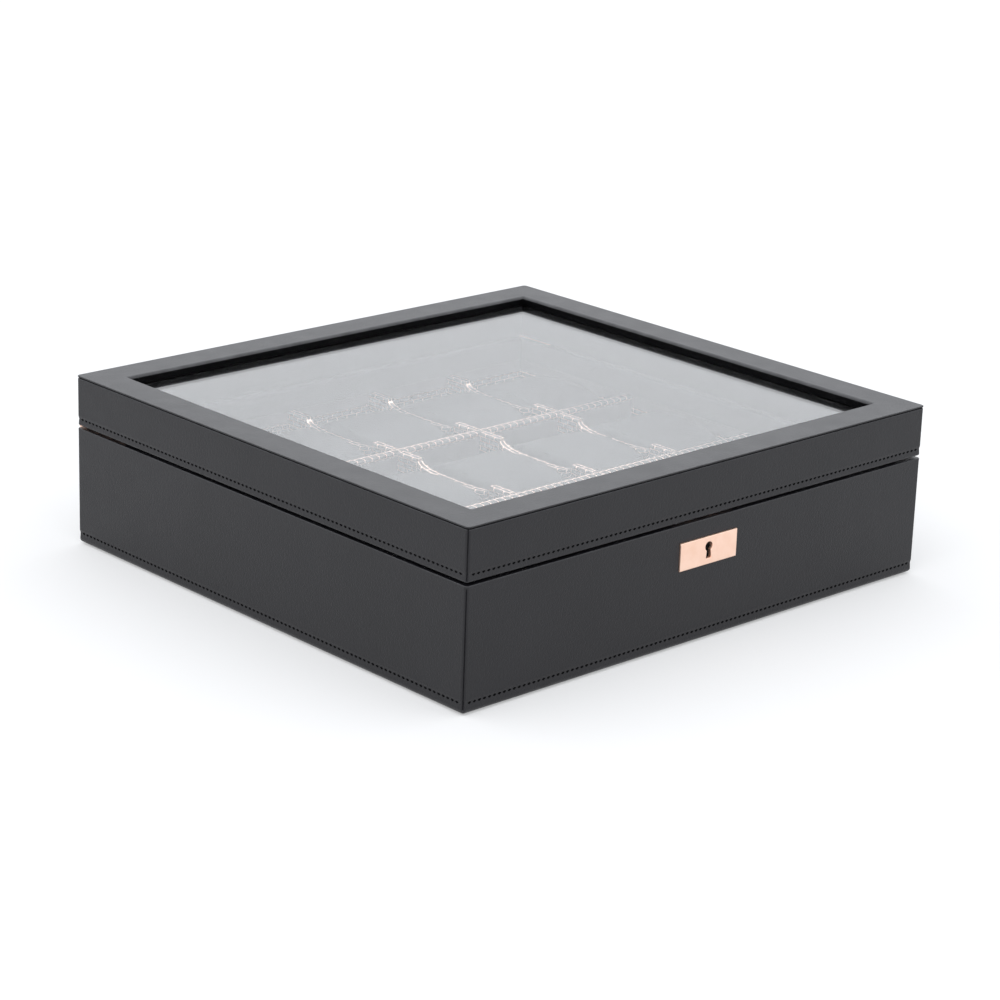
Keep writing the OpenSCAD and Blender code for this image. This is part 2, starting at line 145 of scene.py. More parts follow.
def make_piece(name: str, points: Array, faces: list, uv: Array | None = None,
               wear: Array | None = None) -> bpy.types.Object:
    """Makes a mesh object at the origin, with its faces pointing outwards.

    Args:
        name: the piece's name.
        points: places in metres, in any shape that ends with 3.
        faces: point numbers of each face.
        uv: two surface coordinates for each point.
        wear: how much each point is rubbed in use, from 0 to 1.

    Returns:
        The new object, smooth except at sharp edges.
    """
    mesh = bpy.data.meshes.new(name)
    mesh.from_pydata(points.reshape(-1, 3).tolist(), [], faces)
    if uv is not None:
        corner_points = np.zeros(len(mesh.loops), int)
        mesh.loops.foreach_get("vertex_index", corner_points)
        mesh.uv_layers.new(name="along").data.foreach_set("uv", uv.reshape(-1, 2)[corner_points].ravel())
    if wear is not None:
        attribute = mesh.attributes.new("wear", "FLOAT", "POINT")
        attribute.data.foreach_set("value", wear.ravel().astype(np.float32))
    obj = bpy.data.objects.new(name, mesh)
    bpy.context.scene.collection.objects.link(obj)
    face_outwards(mesh)
    soften(mesh)
    return obj


def face_outwards(mesh: bpy.types.Mesh) -> None:
    """Merges doubled points and turns every face of a closed mesh outwards."""
    work = bmesh.new()
    work.from_mesh(mesh)
    bmesh.ops.remove_doubles(work, verts=work.verts, dist=1e-7)
    bmesh.ops.recalc_face_normals(work, faces=work.faces)
    work.to_mesh(mesh)
    work.free()


def soften(mesh: bpy.types.Mesh) -> None:
    """Shades a mesh smooth apart from its sharp edges."""
    mesh.shade_smooth()
    mesh.set_sharp_from_angle(angle=SMOOTH_ANGLE)


def cut(obj: bpy.types.Object, boxes: list[Box]) -> None:
    """Takes boxes out of a piece and keeps the result as its mesh.

    Args:
        obj: the closed piece to cut.
        boxes: what to take away.
    """
    unit = np.array([[x, y, z] for x in (0, 1) for y in (0, 1) for z in (0, 1)], float)
    sides = [[0, 1, 3, 2], [4, 6, 7, 5], [0, 4, 5, 1], [2, 3, 7, 6], [0, 2, 6, 4], [1, 5, 7, 3]]
    for box in boxes:
        tool = make_piece("cutter", np.array(box.lo) + unit * np.array(box.size), sides)
        step = obj.modifiers.new("cut", "BOOLEAN")
        step.operation, step.solver, step.object = "DIFFERENCE", "EXACT", tool
        keep_modified(obj)
        bpy.data.objects.remove(tool)
    soften(obj.data)


def keep_modified(obj: bpy.types.Object) -> None:
    """Replaces an object's mesh by what its modifiers make of it, and clears them."""
    bpy.context.view_layer.update()
    shaped = bpy.data.meshes.new_from_object(obj.evaluated_get(bpy.context.evaluated_depsgraph_get()))
    obj.modifiers.clear()
    obj.data = shaped


def read_points(mesh: bpy.types.Mesh) -> Array:
    """Returns a mesh's points as rows of three numbers."""
    flat = np.zeros(len(mesh.vertices) * 3, np.float32)
    mesh.vertices.foreach_get("co", flat)
    return flat.reshape(-1, 3).astype(float)


def write_points(mesh: bpy.types.Mesh, points: Array) -> None:
    """Puts new places into a mesh's points."""
    mesh.vertices.foreach_set("co", points.astype(np.float32).ravel())
    mesh.update()


def fit(obj: bpy.types.Object, body: str, material: bpy.types.Material,
        stands_for: tuple[str, ...] = ()) -> None:
    """Dresses a finished piece and hangs it on its body of the frame.

    Args:
        obj: the piece, in place.
        body: the frame's body that it moves with.
        material: its finish.
        stands_for: the CAD nodes that it is shown in place of.
    """
    obj.data.materials.clear()
    obj.data.materials.append(material)
    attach(obj, str(getattr(body, "value", body)))
    if stands_for:
        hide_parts(*stands_for)
    log.info("%s: %d faces", obj.name, len(obj.data.polygons))


def filleted(corners: Array, steps: int = 5, support: float = 0.25) -> Array:
    """Rounds the corners of a closed outline.

    Each corner becomes an arc that touches both sides at radius / tan(half the corner's angle) from it.
    A support point lies just beyond each end of the arc, so that flat faces stay flat when shaded.

    Args:
        corners: rows of two places, a radius and a wear value, in millimetres.
        steps: number of pieces in each arc.
        support: distance of the support points from the arc.

    Returns:
        Rows of two places and a wear value.
    """
    place, radius, wear = corners[:, :2], corners[:, 2:3], corners[:, 3]
    to_last, to_next = np.roll(place, 1, 0) - place, np.roll(place, -1, 0) - place
    last_length = np.linalg.norm(to_last, axis=1, keepdims=True)
    next_length = np.linalg.norm(to_next, axis=1, keepdims=True)
    to_last, to_next = to_last / last_length, to_next / next_length
    half = np.arccos(np.clip((to_last * to_next).sum(1, keepdims=True), -1, 1)) / 2
    tangent = radius / np.tan(half)
    middle = to_last + to_next
    centre = place + middle / np.linalg.norm(middle, axis=1, keepdims=True) * radius / np.sin(half)
    start, end = place + to_last * tangent, place + to_next * tangent
    turn = math.pi - 2 * half
    share = np.linspace(0, 1, steps + 1)[None, :, None]
    swing = turn[:, None]
    arc = centre[:, None] + (np.sin((1 - share) * swing) * (start - centre)[:, None]
                             + np.sin(share * swing) * (end - centre)[:, None]) / np.sin(swing)
    before = np.minimum(support, (last_length - tangent - np.roll(tangent, 1, 0)) / 4)
    after = np.minimum(support, (next_length - tangent - np.roll(tangent, -1, 0)) / 4)
    outline = np.concatenate([(start + to_last * before)[:, None], arc,
                              (end + to_next * after)[:, None]], axis=1)
    rubbed = np.zeros(outline.shape[:2])
    rubbed[:, 1:-1] = wear[:, None] * np.sin(np.linspace(0.2, math.pi - 0.2, steps + 1))
    return np.concatenate([outline, rubbed[..., None]], axis=2).reshape(-1, 3)


@dataclass(frozen=True)
class CaseOutline:
    """The case seen from above: a rounded rectangle with a folded seam down each corner."""

    half_x: float
    half_y: float
    radius: float = 2.0
    least_radius: float = 0.5
    corner_steps: int = 24
    side_steps: int = 36
    seam_width: float = 0.2

    @classmethod
    def of(cls, box: Box) -> "CaseOutline":
        """Returns the outline of a box, in millimetres."""
        return cls(box.size.x / 2 / MM, box.size.y / 2 / MM)

    def rings(self, inset: Array, fold: Array) -> Array:
        """Works out one closed ring for each inset.

        A ring is four quarter circles of radius (corner radius - inset), but no less than the least
        radius, joined by straight sides. In the middle of a corner the radius loses
        fold * exp(-(angle / seam width) squared).

        Args:
            inset: distance of each ring inside the outline, in millimetres.
            fold: depth of the corner seam on each ring, in millimetres.

        Returns:
            Places of shape (rings, points, 2), in millimetres, anticlockwise from the right side.
        """
        quarter = np.arange(4)[:, None] * math.pi / 2
        step = np.linspace(0, math.pi / 2, self.corner_steps + 1)[None]
        angle, middle = quarter + step, quarter + math.pi / 4
        inset, fold = inset[:, None, None], fold[:, None, None]
        radius = np.maximum(self.radius - inset, self.least_radius)
        dented = radius - fold * np.exp(-(((step - math.pi / 4) / self.seam_width) ** 2))
        x = np.sign(np.cos(middle)) * (self.half_x - inset - radius) + dented * np.cos(angle)
        y = np.sign(np.sin(middle)) * (self.half_y - inset - radius) + dented * np.sin(angle)
        corners = np.stack([x, y], axis=-1)
        share = np.concatenate([[0.001], np.linspace(0, 1, self.side_steps + 1)[1:-1], [0.999]])[:, None]
        sides = corners[:, :, -1:] * (1 - share) + np.roll(corners[:, :, :1], -1, axis=1) * share
        return np.concatenate([corners, sides], axis=2).reshape(len(inset), -1, 2)


@dataclass(frozen=True)
class Wrap:
    """A skin of leather round the case, as a closed section carried along the outline.

    The section's rows are inset, height, corner radius and wear, in millimetres.
    """

    name: str
    section: tuple[tuple[float, float, float, float], ...]
    seam_from: float
    seam_to: float
    seam_depth: float = 0.6
    skin: float = 1.0

    def build(self, outline: CaseOutline) -> bpy.types.Object:
        """Sweeps the section round the outline.

        A point of the section at inset d and height z lies on the outline's ring at inset d, at height z.
        The corner seam cuts only the outer face, between two heights.

        Args:
            outline: the case's outline.

        Returns:
            The skin's object.
        """
        section = filleted(np.array(self.section))
        inset, height, wear = section.T
        outer = (inset < self.skin) & (height > self.seam_from) & (height < self.seam_to)
        rings = outline.rings(inset, np.where(outer, self.seam_depth, 0.0))
        count = rings.shape[1]
        points = np.concatenate([rings, np.repeat(height[:, None, None], count, 1)], axis=2) * MM
        return make_piece(self.name, points, grid_faces(len(section), count, True, True),
                          wear=np.repeat(wear[:, None], count, 1))


@dataclass(frozen=True)
class StitchRow:
    """A row of thread stitches along the four sides at one height, in millimetres."""

    name: str
    height: float
    pitch: float = 3.3
    length: float = 2.3
    thread: float = 1.2
    tallness: float = 1.45
    sunk: float = 0.6
    dip: float = 0.3
    slant: float = 0.15
    corner_gap: float = 4.2

    def stitch(self) -> tuple[Array, Array]:
        """Works out one stitch, lying along the first axis with the second pointing out of the leather.

        Three rings of six points, at -0.8, 0 and 0.8 of the half length, are drawn to a point at each end.
        A ring's radius follows the fourth root of (1 - t to the fourth), its height is the radius times the
        tallness, and its middle dips by dip * t squared.

        Returns:
            Points of shape (20, 3), and triangles as point numbers.
        """
        ring_place = np.array([-0.8, 0.0, 0.8])
        turn = np.arange(6) * math.pi / 3
        radius = (1 - ring_place**4) ** 0.25 * self.thread / 2
        rings = np.stack([
            np.repeat((ring_place * self.length / 2)[:, None], 6, 1),
            radius[:, None] * np.cos(turn) - self.dip * ring_place[:, None] ** 2,
            self.tallness * radius[:, None] * np.sin(turn) + self.slant * ring_place[:, None],
        ], axis=-1).reshape(-1, 3)
        end = np.array([self.length / 2, -self.dip, self.slant])
        ends = np.stack([end * [-1, 1, -1], end])
        around, following = np.arange(6), (np.arange(6) + 1) % 6
        between = [np.stack([a + around, a + following, b + around], 1) for a, b in ((0, 6), (6, 12))]
        between += [np.stack([a + following, b + following, b + around], 1) for a, b in ((0, 6), (6, 12))]
        caps = [np.stack([np.full(6, 18), following, around], 1),
                np.stack([np.full(6, 19), 12 + around, 12 + following], 1)]
        return np.concatenate([rings, ends]), np.concatenate(between + caps)

    def build(self, outline: CaseOutline) -> bpy.types.Object:
        """Copies the stitch along each side at a fixed pitch.

        Args:
            outline: the case's outline.

        Returns:
            One object that holds the whole row.
        """
        shape, triangles = self.stitch()
        placed = []
        sides = ((0, outline.half_y, outline.half_x), (1, outline.half_x, outline.half_y))
        for across, length, reach in sides:
            count = int((2 * (length - self.corner_gap)) // self.pitch) + 1
            along = (np.arange(count) - (count - 1) / 2) * self.pitch
            for sign in (-1, 1):
                row = np.empty((count, len(shape), 3))
                row[..., across] = sign * (reach - self.sunk + shape[None, :, 1])
                row[..., 1 - across] = along[:, None] + shape[None, :, 0]
                row[..., 2] = self.height + shape[None, :, 2]
                placed.append(row.reshape(-1, 3))
        points = np.concatenate(placed) * MM
        copies = len(points) // len(shape)
        faces = (np.arange(copies)[:, None, None] * len(shape) + triangles[None]).reshape(-1, 3)
        return make_piece(self.name, points, faces.tolist())


@dataclass(frozen=True)
class Bar:
    """A covered strip standing on edge, with a softly rounded top, in millimetres."""

    name: str
    along: int
    start: float
    end: float
    middle: float
    thickness: float
    bottom: float
    top: float
    rounding: float = 0.9
    step: float = 1.5

    def build(self, drop: Array | None = None, stations: Array | None = None) -> bpy.types.Object:
        """Carries the strip's section along its length.

        The section is a rectangle with two rounded upper corners. Its height z above the bottom is
        scaled by (full height - drop) / full height at each station. The surface coordinates are the
        place along the strip and the distance round the section from the middle of its top edge, in
        metres.

        Args:
            drop: how far the top edge sinks at each station.
            stations: places along the strip, from its start to its end.

        Returns:
            The strip's object.
        """
        half = self.thickness / 2
        soft = min(self.rounding, half - 0.05)
        section = filleted(np.array([[-half, self.top, soft, 0], [half, self.top, soft, 0],
                                     [half, self.bottom, 0.05, 0], [-half, self.bottom, 0.05, 0]]), 6)[:, :2]
        section = np.roll(section, 9, axis=0)
        if stations is None:
            stations = np.linspace(self.start, self.end, max(2, int((self.end - self.start) / self.step)))
            drop = np.zeros(len(stations))
        full = self.top - self.bottom
        height = self.bottom + (section[None, :, 1] - self.bottom) * (1 - drop / full)[:, None]
        points = np.empty((len(stations), len(section), 3))
        points[..., self.along] = stations[:, None]
        points[..., 1 - self.along] = self.middle + section[None, :, 0]
        points[..., 2] = height
        run = np.linalg.norm(np.diff(section, axis=0), axis=1)
        girth = np.concatenate([[0], np.cumsum(run)])
        crown = np.interp(0, section[:, 0][9:18], girth[9:18])
        uv = np.stack(np.broadcast_arrays(stations[:, None], (girth - crown)[None]), axis=-1)
        rows, columns = points.shape[:2]
        faces = grid_faces(rows, columns, False, True)
        faces += [list(range(columns)), list(range((rows - 1) * columns, rows * columns))]
        return make_piece(self.name, points * MM, faces, uv=uv * MM)


# ---- Finishes ----


class NodeGraph:
    """A new material's nodes, with short ways to add and join them."""

    def __init__(self, name: str) -> None:
        """Starts a material with a Principled shader joined to its output."""
        self.material = bpy.data.materials.new(name)
        self.material.use_nodes = True
        self.tree = self.material.node_tree
        self.tree.nodes.clear()
        self.shader = self.tree.nodes.new("ShaderNodeBsdfPrincipled")
        output = self.tree.nodes.new("ShaderNodeOutputMaterial")
        self.tree.links.new(self.shader.outputs["BSDF"], output.inputs["Surface"])

    def put(self, socket: bpy.types.NodeSocket, value: Value | Colour) -> None:
        """Sets a socket to a number or colour, or joins another node's output to it."""
        if isinstance(value, bpy.types.NodeSocket):
            self.tree.links.new(value, socket)
        elif isinstance(value, tuple) and socket.type == "RGBA":
            socket.default_value = (*value, 1.0)
        else:
            socket.default_value = value

    def node(self, kind: str, inputs: dict[str, Value | Colour] | None = None,
             **settings: str | float | bool) -> bpy.types.Node:
        """Adds a node.

        Args:
            kind: the node's type, without its ShaderNode prefix.
            inputs: values or outputs for its input sockets, by name.
            settings: its properties, by name.

        Returns:
            The node.
        """
        made = self.tree.nodes.new("ShaderNode" + kind)
        for name, value in settings.items():
            setattr(made, name, value)
        for name, value in (inputs or {}).items():
            self.put(made.inputs[name], value)
        return made

    def shade(self, **values: Value | Colour) -> None:
        """Sets the shader's sockets, named with underscores for spaces."""
        for name, value in values.items():
            self.put(self.shader.inputs[name.replace("_", " ")], value)

    def math(self, operation: str, *values: Value) -> bpy.types.NodeSocket:
        """Adds a Math node and returns its result."""
        made = self.tree.nodes.new("ShaderNodeMath")
        made.operation = operation
        for socket, value in zip(made.inputs, values):
            self.put(socket, value)
        return made.outputs[0]

    def coordinates(self, source: Coordinates) -> bpy.types.NodeSocket:
        """Returns where a pattern takes its place from."""
        return self.node("TexCoord").outputs[source.value]

    def noise(self, place: bpy.types.NodeSocket, size: float, detail: float = 2.0,
              stretch: Colour = (1.0, 1.0, 1.0)) -> bpy.types.NodeSocket:
        """Returns a cloudy value from 0 to 1.

        Args:
            place: the coordinates to read.
            size: width of a cloud, in millimetres.
            detail: octaves of finer clouds.
            stretch: squeezes the clouds along each axis.
        """
        if stretch != (1.0, 1.0, 1.0):
            place = self.node("Mapping", {"Vector": place, "Scale": stretch}).outputs[0]
        return self.node("TexNoise", {"Vector": place, "Scale": 1 / (size * MM), "Detail": detail}).outputs[0]

    def cells(self, place: bpy.types.NodeSocket, size: float, feature: str) -> bpy.types.NodeSocket:
        """Returns the distance inside a pattern of cells, for pebbles, creases or fibres."""
        return self.node("TexVoronoi", {"Vector": place, "Scale": 1 / (size * MM)},
                         feature=feature).outputs["Distance"]

    def spread(self, value: bpy.types.NodeSocket, low: float, high: float, start: float = 0.0,
               end: float = 1.0, soft: bool = False) -> bpy.types.NodeSocket:
        """Maps low..high of a value to start..end."""
        return self.node("MapRange", {"Value": value, "From Min": low, "From Max": high, "To Min": start,
                                      "To Max": end},
                         interpolation_type="SMOOTHSTEP" if soft else "LINEAR").outputs[0]

    def blend(self, share: Value, first: Value | Colour, second: Value | Colour) -> bpy.types.NodeSocket:
        """Mixes two colours."""
        made = self.node("Mix", data_type="RGBA")
        for index, value in ((0, share), (6, first), (7, second)):
            self.put(made.inputs[index], value)
        return made.outputs[2]

    def bump(self, height: bpy.types.NodeSocket, depth: float, strength: float = 1.0,
             under: bpy.types.NodeSocket | None = None) -> bpy.types.NodeSocket:
        """Returns a normal that follows a height from 0 to 1, with its depth in millimetres."""
        made = self.node("Bump", {"Height": height, "Distance": depth * MM, "Strength": strength})
        if under is not None:
            self.put(made.inputs["Normal"], under)
        return made.outputs[0]


@dataclass(frozen=True)
class Leather:
    """Smooth fine-grained leather: soft pebbles, hairline creases darkened by painted shade, and edges rubbed
    a little lighter.

    The widths of the pattern's parts and the depths of its bumps are in millimetres.
    """

    name: str
    dark: Colour
    light: Colour
    worn: Colour
    roughness: tuple[float, float]
    ior: float = 1.42
    grain: float = 0.7
    grain_depth: float = 0.1
    crease: float = 2.6
    pore: float = 0.35
    wander: float = 1.2
    ripple: float = 38.0
    ripple_depth: float = 0.05
    cloud: float = 55.0
    gloss_cloud: float = 14.0
    rub_cloud: float = 9.0

    def material(self) -> bpy.types.Material:
        """Builds the finish: pebbles and creases as bump over long ripples, with cloudy colour and gloss, and
        painted shade that darkens the colour along the creases.
        """
        graph = NodeGraph(self.name)
        place = graph.coordinates(Coordinates.OBJECT)
        drift = graph.node("TexNoise", {"Vector": place, "Scale": 220.0, "Detail": 1.0}).outputs["Color"]
        step = graph.node("VectorMath", {0: drift, 1: (self.wander * MM,) * 3},
                          operation="MULTIPLY").outputs[0]
        shifted = graph.node("VectorMath", {0: place, 1: step}, operation="ADD").outputs[0]
        pebbles = graph.spread(graph.cells(shifted, self.grain, "F1"), 0.0, 0.7, 1.0, 0.0)
        creases = graph.spread(graph.cells(shifted, self.crease, "DISTANCE_TO_EDGE"), 0.0, 0.09, soft=True)
        pores = graph.noise(place, self.pore, 1.0)
        height = graph.math("ADD", graph.math("MULTIPLY", pebbles, 0.55),
                            graph.math("ADD", graph.math("MULTIPLY", creases, 0.3),
                                       graph.math("MULTIPLY", pores, 0.25)))
        ripples = graph.bump(graph.noise(place, self.ripple, 1.0), self.ripple_depth)
        cloud = graph.noise(place, self.cloud, 3.0)
        rubbed = graph.math("MULTIPLY", graph.node("Attribute", attribute_name="wear").outputs["Fac"],
                            graph.spread(graph.noise(place, self.rub_cloud, 4.0), 0.35, 0.7))
        colour = graph.blend(graph.spread(cloud, 0.3, 0.7), self.dark, self.light)
        # Painted shade: the colour is blended up to 35% towards the dark tone along the crease lines.
        colour = graph.blend(graph.spread(creases, 0.0, 1.0, 0.35, 0.0), colour, self.dark)
        gloss = graph.spread(graph.noise(place, self.gloss_cloud, 3.0), 0.3, 0.7, *self.roughness)
        gloss = graph.math("ADD", gloss, graph.math("MULTIPLY", rubbed, -0.08))
        graph.shade(Base_Color=graph.blend(rubbed, colour, self.worn), Roughness=gloss, IOR=self.ior,
                    Normal=graph.bump(height, self.grain_depth, 1.0, ripples))
        return graph.material


@dataclass(frozen=True)
class Thread:
    """Waxed sewing thread with a fine twist."""

    name: str = "waxed_thread"
    colour: Colour = (0.0012, 0.0012, 0.0014)
    roughness: float = 0.7
    ior: float = 1.08
    twist: float = 0.5

    def material(self) -> bpy.types.Material:
        """Builds the finish: slanting bands for the twist, with a cloudy colour."""
        graph = NodeGraph(self.name)
        place = graph.coordinates(Coordinates.OBJECT)
        strands = graph.node("TexWave", {"Vector": place, "Scale": 1 / (self.twist * MM) / 6.3},
                             bands_direction="DIAGONAL").outputs[1]
        shade = graph.spread(graph.noise(place, 6.0), 0.3, 0.7)
        graph.shade(Base_Color=graph.blend(shade, self.colour, tuple(2 * c for c in self.colour)),
                    Roughness=self.roughness, IOR=self.ior, Normal=graph.bump(strands, 0.05, 0.6))
        return graph.material


@dataclass(frozen=True)
class PrintedLining:
    """Dark lining cloth printed with rows of rounded copper links, each row shifted by half a link.

    On a strip the print starts a plain hem away from the strip's top and ends at the printed reach.
    """

    name: str
    link_length: float = 7.4
    row_pitch: float = 2.75
    row_shift: float = 0.0
    line_width: float = 0.62
    corner: float = 0.7
    source: Coordinates = Coordinates.SURFACE
    swap_axes: bool = False
    ground: Colour = (0.014, 0.010, 0.009)
    ground_light: Colour = (0.024, 0.017, 0.015)
    copper: Colour = (0.95, 0.70, 0.58)
    weave: float = 0.55
    printed_reach: float = 100.0
    plain_hem: float = -1.0

    def line(self, graph: NodeGraph, along: Value, across: Value) -> bpy.types.NodeSocket:
        """Works out where the copper lines run.

        In each link the distance from a rounded rectangle is the length of (|place| - half size), each part
        kept above 0, less the corner's radius. The line is where that distance is above 0.

        Args:
            graph: the material's nodes.
            along: place along the links, in metres.
            across: place across the rows, in metres.

        Returns:
            1 on a line and 0 on the cloth.
        """
        length, pitch = self.link_length * MM, self.row_pitch * MM
        row = graph.math("ADD", graph.math("DIVIDE", across, pitch), self.row_shift)
        odd = graph.math("PINGPONG", graph.math("FLOOR", row), 1.0)
        column = graph.math("ADD", graph.math("DIVIDE", along, length), graph.math("MULTIPLY", odd, 0.5))
        beyond = []
        for share, size in ((column, length), (row, pitch)):
            offset = graph.math("MULTIPLY", graph.math("SUBTRACT", graph.math("FRACT", share), 0.5), size)
            edge = size / 2 - (self.line_width / 2 + self.corner) * MM
            past = graph.math("MAXIMUM", graph.math("SUBTRACT", graph.math("ABSOLUTE", offset), edge), 0.0)
            beyond.append(graph.math("MULTIPLY", past, past))
        distance = graph.math("SUBTRACT", graph.math("SQRT", graph.math("ADD", *beyond)), self.corner * MM)
        return graph.spread(distance, -0.06 * MM, 0.06 * MM, soft=True)

    def material(self) -> bpy.types.Material:
        """Builds the finish: metallic lines printed on a woven ground."""
        graph = NodeGraph(self.name)
        place = graph.coordinates(self.source)
        parts = graph.node("SeparateXYZ", {"Vector": place}).outputs
        along, across = (parts[1], parts[0]) if self.swap_axes else (parts[0], parts[1])
        solid = graph.coordinates(Coordinates.OBJECT)
        worn = graph.spread(graph.noise(solid, 1.6, 3.0), 0.2, 0.36, soft=True)
        printed = graph.math("MULTIPLY", self.line(graph, along, across), worn)
        from_top = graph.math("ABSOLUTE", across)
        for edge, soft in ((self.printed_reach, -0.3), (self.plain_hem, 0.3)):
            covered = graph.spread(from_top, edge * MM, (edge + soft) * MM)
            printed = graph.math("MULTIPLY", printed, covered)
        threads = [graph.math("SINE", graph.math("MULTIPLY", part, 2 * math.pi / (self.weave * MM)))
                   for part in (along, across)]
        cloth = graph.spread(graph.math("MULTIPLY", *threads), -1.0, 1.0)
        ground = graph.blend(graph.spread(graph.noise(solid, 5.0), 0.3, 0.7), self.ground, self.ground_light)
        height = graph.math("ADD", graph.math("MULTIPLY", cloth, 0.4), printed)
        graph.shade(Base_Color=graph.blend(printed, ground, self.copper), Metallic=printed,
                    Roughness=graph.spread(printed, 0.0, 1.0, 0.85, 0.34),
                    Normal=graph.bump(height, 0.06, 0.7))
        return graph.material


@dataclass(frozen=True)
class SatinMetal:
    """Metal with a satin brushed face: fine lines along one axis, and a faint cloudy tarnish."""

    name: str
    colour: Colour
    tarnish: Colour
    roughness: tuple[float, float]
    brushed: Colour = (0.06, 1.0, 1.0)
    line: float = 0.16
    depth: float = 0.006

    def material(self) -> bpy.types.Material:
        """Builds the finish: stretched noise as bump and gloss, clouds as colour."""
        graph = NodeGraph(self.name)
        place = graph.coordinates(Coordinates.OBJECT)
        lines = graph.noise(place, self.line, 3.0, self.brushed)
        cloud = graph.spread(graph.noise(place, 7.0, 3.0), 0.35, 0.75)
        graph.shade(Base_Color=graph.blend(cloud, self.colour, self.tarnish), Metallic=1.0,
                    Roughness=graph.spread(lines, 0.3, 0.7, *self.roughness),
                    Normal=graph.bump(lines, self.depth, 0.6))
        return graph.material


@dataclass(frozen=True)
class Fibre:
    """Pressed or brushed fibres, for felt, plain lining cloth and dyed fibreboard."""

    name: str
    dark: Colour
    light: Colour
    strand: float = 0.25
    depth: float = 0.12
    sheen: float = 0.0
    stretch: Colour = (1.0, 1.0, 1.0)

    def material(self) -> bpy.types.Material:
        """Builds the finish: two sizes of noise as bump and colour, with an optional sheen."""
        graph = NodeGraph(self.name)
        place = graph.coordinates(Coordinates.OBJECT)
        fine = graph.noise(place, self.strand, 4.0, self.stretch)
        tufts = graph.noise(place, self.strand * 9, 2.0)
        height = graph.math("ADD", graph.math("MULTIPLY", fine, 0.6), graph.math("MULTIPLY", tufts, 0.4))
        graph.shade(Base_Color=graph.blend(graph.spread(height, 0.35, 0.65), self.dark, self.light),
                    Roughness=0.92, Sheen_Weight=self.sheen, Normal=graph.bump(height, self.depth))
        return graph.material


@dataclass(frozen=True)
class FloatGlass:
    """Clear flat glass with a barely tinted body and a slightly uneven polish."""

    name: str = "float_glass"
    tint: Colour = (0.975, 0.985, 0.985)
    ior: float = 1.5
    haze: float = 0.003
    cloud: float = 60.0

    def material(self) -> bpy.types.Material:
        """Builds the finish: clear transmission, with clouds of thin haze."""
        graph = NodeGraph(self.name)
        place = graph.coordinates(Coordinates.OBJECT)
        haze = graph.spread(graph.noise(place, self.cloud, 3.0), 0.45, 0.8, 0.0, self.haze)
        graph.shade(Base_Color=self.tint, Transmission_Weight=1.0, IOR=self.ior, Roughness=haze)
        return graph.material


class Finishes:
    """Every material of the box, made once and shared."""

    def __init__(self) -> None:
        """Makes the materials."""
        self.leather = Leather("smooth_leather", dark=(0.0036, 0.0034, 0.0048),
                               light=(0.0050, 0.0047, 0.0064), worn=(0.022, 0.022, 0.024),
                               roughness=(0.38, 0.43)).material()
        self.edge = Leather("blackened_edge", dark=(0.0012, 0.0012, 0.0014), light=(0.002, 0.002, 0.0023),
                            worn=(0.004, 0.004, 0.004), roughness=(0.5, 0.6), ior=1.12).material()
        self.cuff = Leather("cuff_leather", dark=(0.003, 0.003, 0.0034), light=(0.0048, 0.0048, 0.0054),
                            worn=(0.01, 0.01, 0.01), roughness=(0.52, 0.56), ior=1.3, grain=0.6,
                            grain_depth=0.014, ripple_depth=0.04).material()
        self.thread = Thread().material()
        self.column_lining = PrintedLining("printed_lining").material()
        self.row_lining = PrintedLining("printed_lining_wide", link_length=5.2, row_pitch=5.4,
                                        row_shift=0.5, printed_reach=3.6).material()
        self.wall_lining = PrintedLining("printed_lining_wall", plain_hem=7.0).material()
        self.floor_lining = PrintedLining("printed_lining_floor", source=Coordinates.OBJECT,
                                          swap_axes=True, plain_hem=-1.0, printed_reach=1000.0).material()
        self.lid_lining = Fibre("lining_cloth", (0.006, 0.006, 0.0065), (0.016, 0.016, 0.017), sheen=0.2,
                                stretch=(1.0, 0.4, 1.0)).material()
        self.felt = Fibre("felt", (0.008, 0.008, 0.009), (0.03, 0.03, 0.032), strand=0.35, depth=0.3,
                          sheen=0.5).material()
        self.board = Fibre("fibreboard", (0.006, 0.005, 0.0045), (0.018, 0.015, 0.013), strand=0.5,
                           depth=0.08, stretch=(0.5, 0.5, 2.0)).material()
        self.copper = SatinMetal("satin_copper", colour=(0.95, 0.68, 0.55), tarnish=(0.90, 0.61, 0.47),
                                 roughness=(0.36, 0.46)).material()
        self.steel = SatinMetal("zinc_plate", colour=(0.58, 0.59, 0.61), tarnish=(0.44, 0.45, 0.47),
                                roughness=(0.30, 0.45)).material()
        self.glass = FloatGlass().material()

    def by_slot(self) -> dict[str, bpy.types.Material]:
        """Returns the finish that CAD nodes of each slot take."""
        return {"black_leather": self.leather, "cuff_leather": self.cuff, "printed_lining": self.floor_lining,
                "lid_lining": self.lid_lining, "felt": self.felt, "board": self.board, "copper": self.copper,
                "steel": self.steel, "glass": self.glass}

    def dress_frame(self) -> None:
        """Gives every CAD node its finish, and breaks the sharp edges of the metal ones."""
        slots = {row["node"]: row["material_slot"] for row in frame["record"]["subparts"]}
        for name, node in frame["nodes"].items():
            node.data.materials.clear()
            node.data.materials.append(self.by_slot()[slots[name]])
            if slots[name] in ("copper", "steel"):
                break_edges(node, 0.18)
        log.info("%d frame nodes dressed", len(slots))


def break_edges(node: bpy.types.Object, width: float) -> None:
    """Rounds a CAD node's sharp edges by modifiers, with the width in millimetres."""
    weld = node.modifiers.new("weld", "WELD")
    weld.merge_threshold = 1e-6
    bevel = node.modifiers.new("edges", "BEVEL")
    bevel.width, bevel.segments = width * MM, 2
    bevel.limit_method, bevel.angle_limit = "ANGLE", math.radians(40)


# ---- Base ----


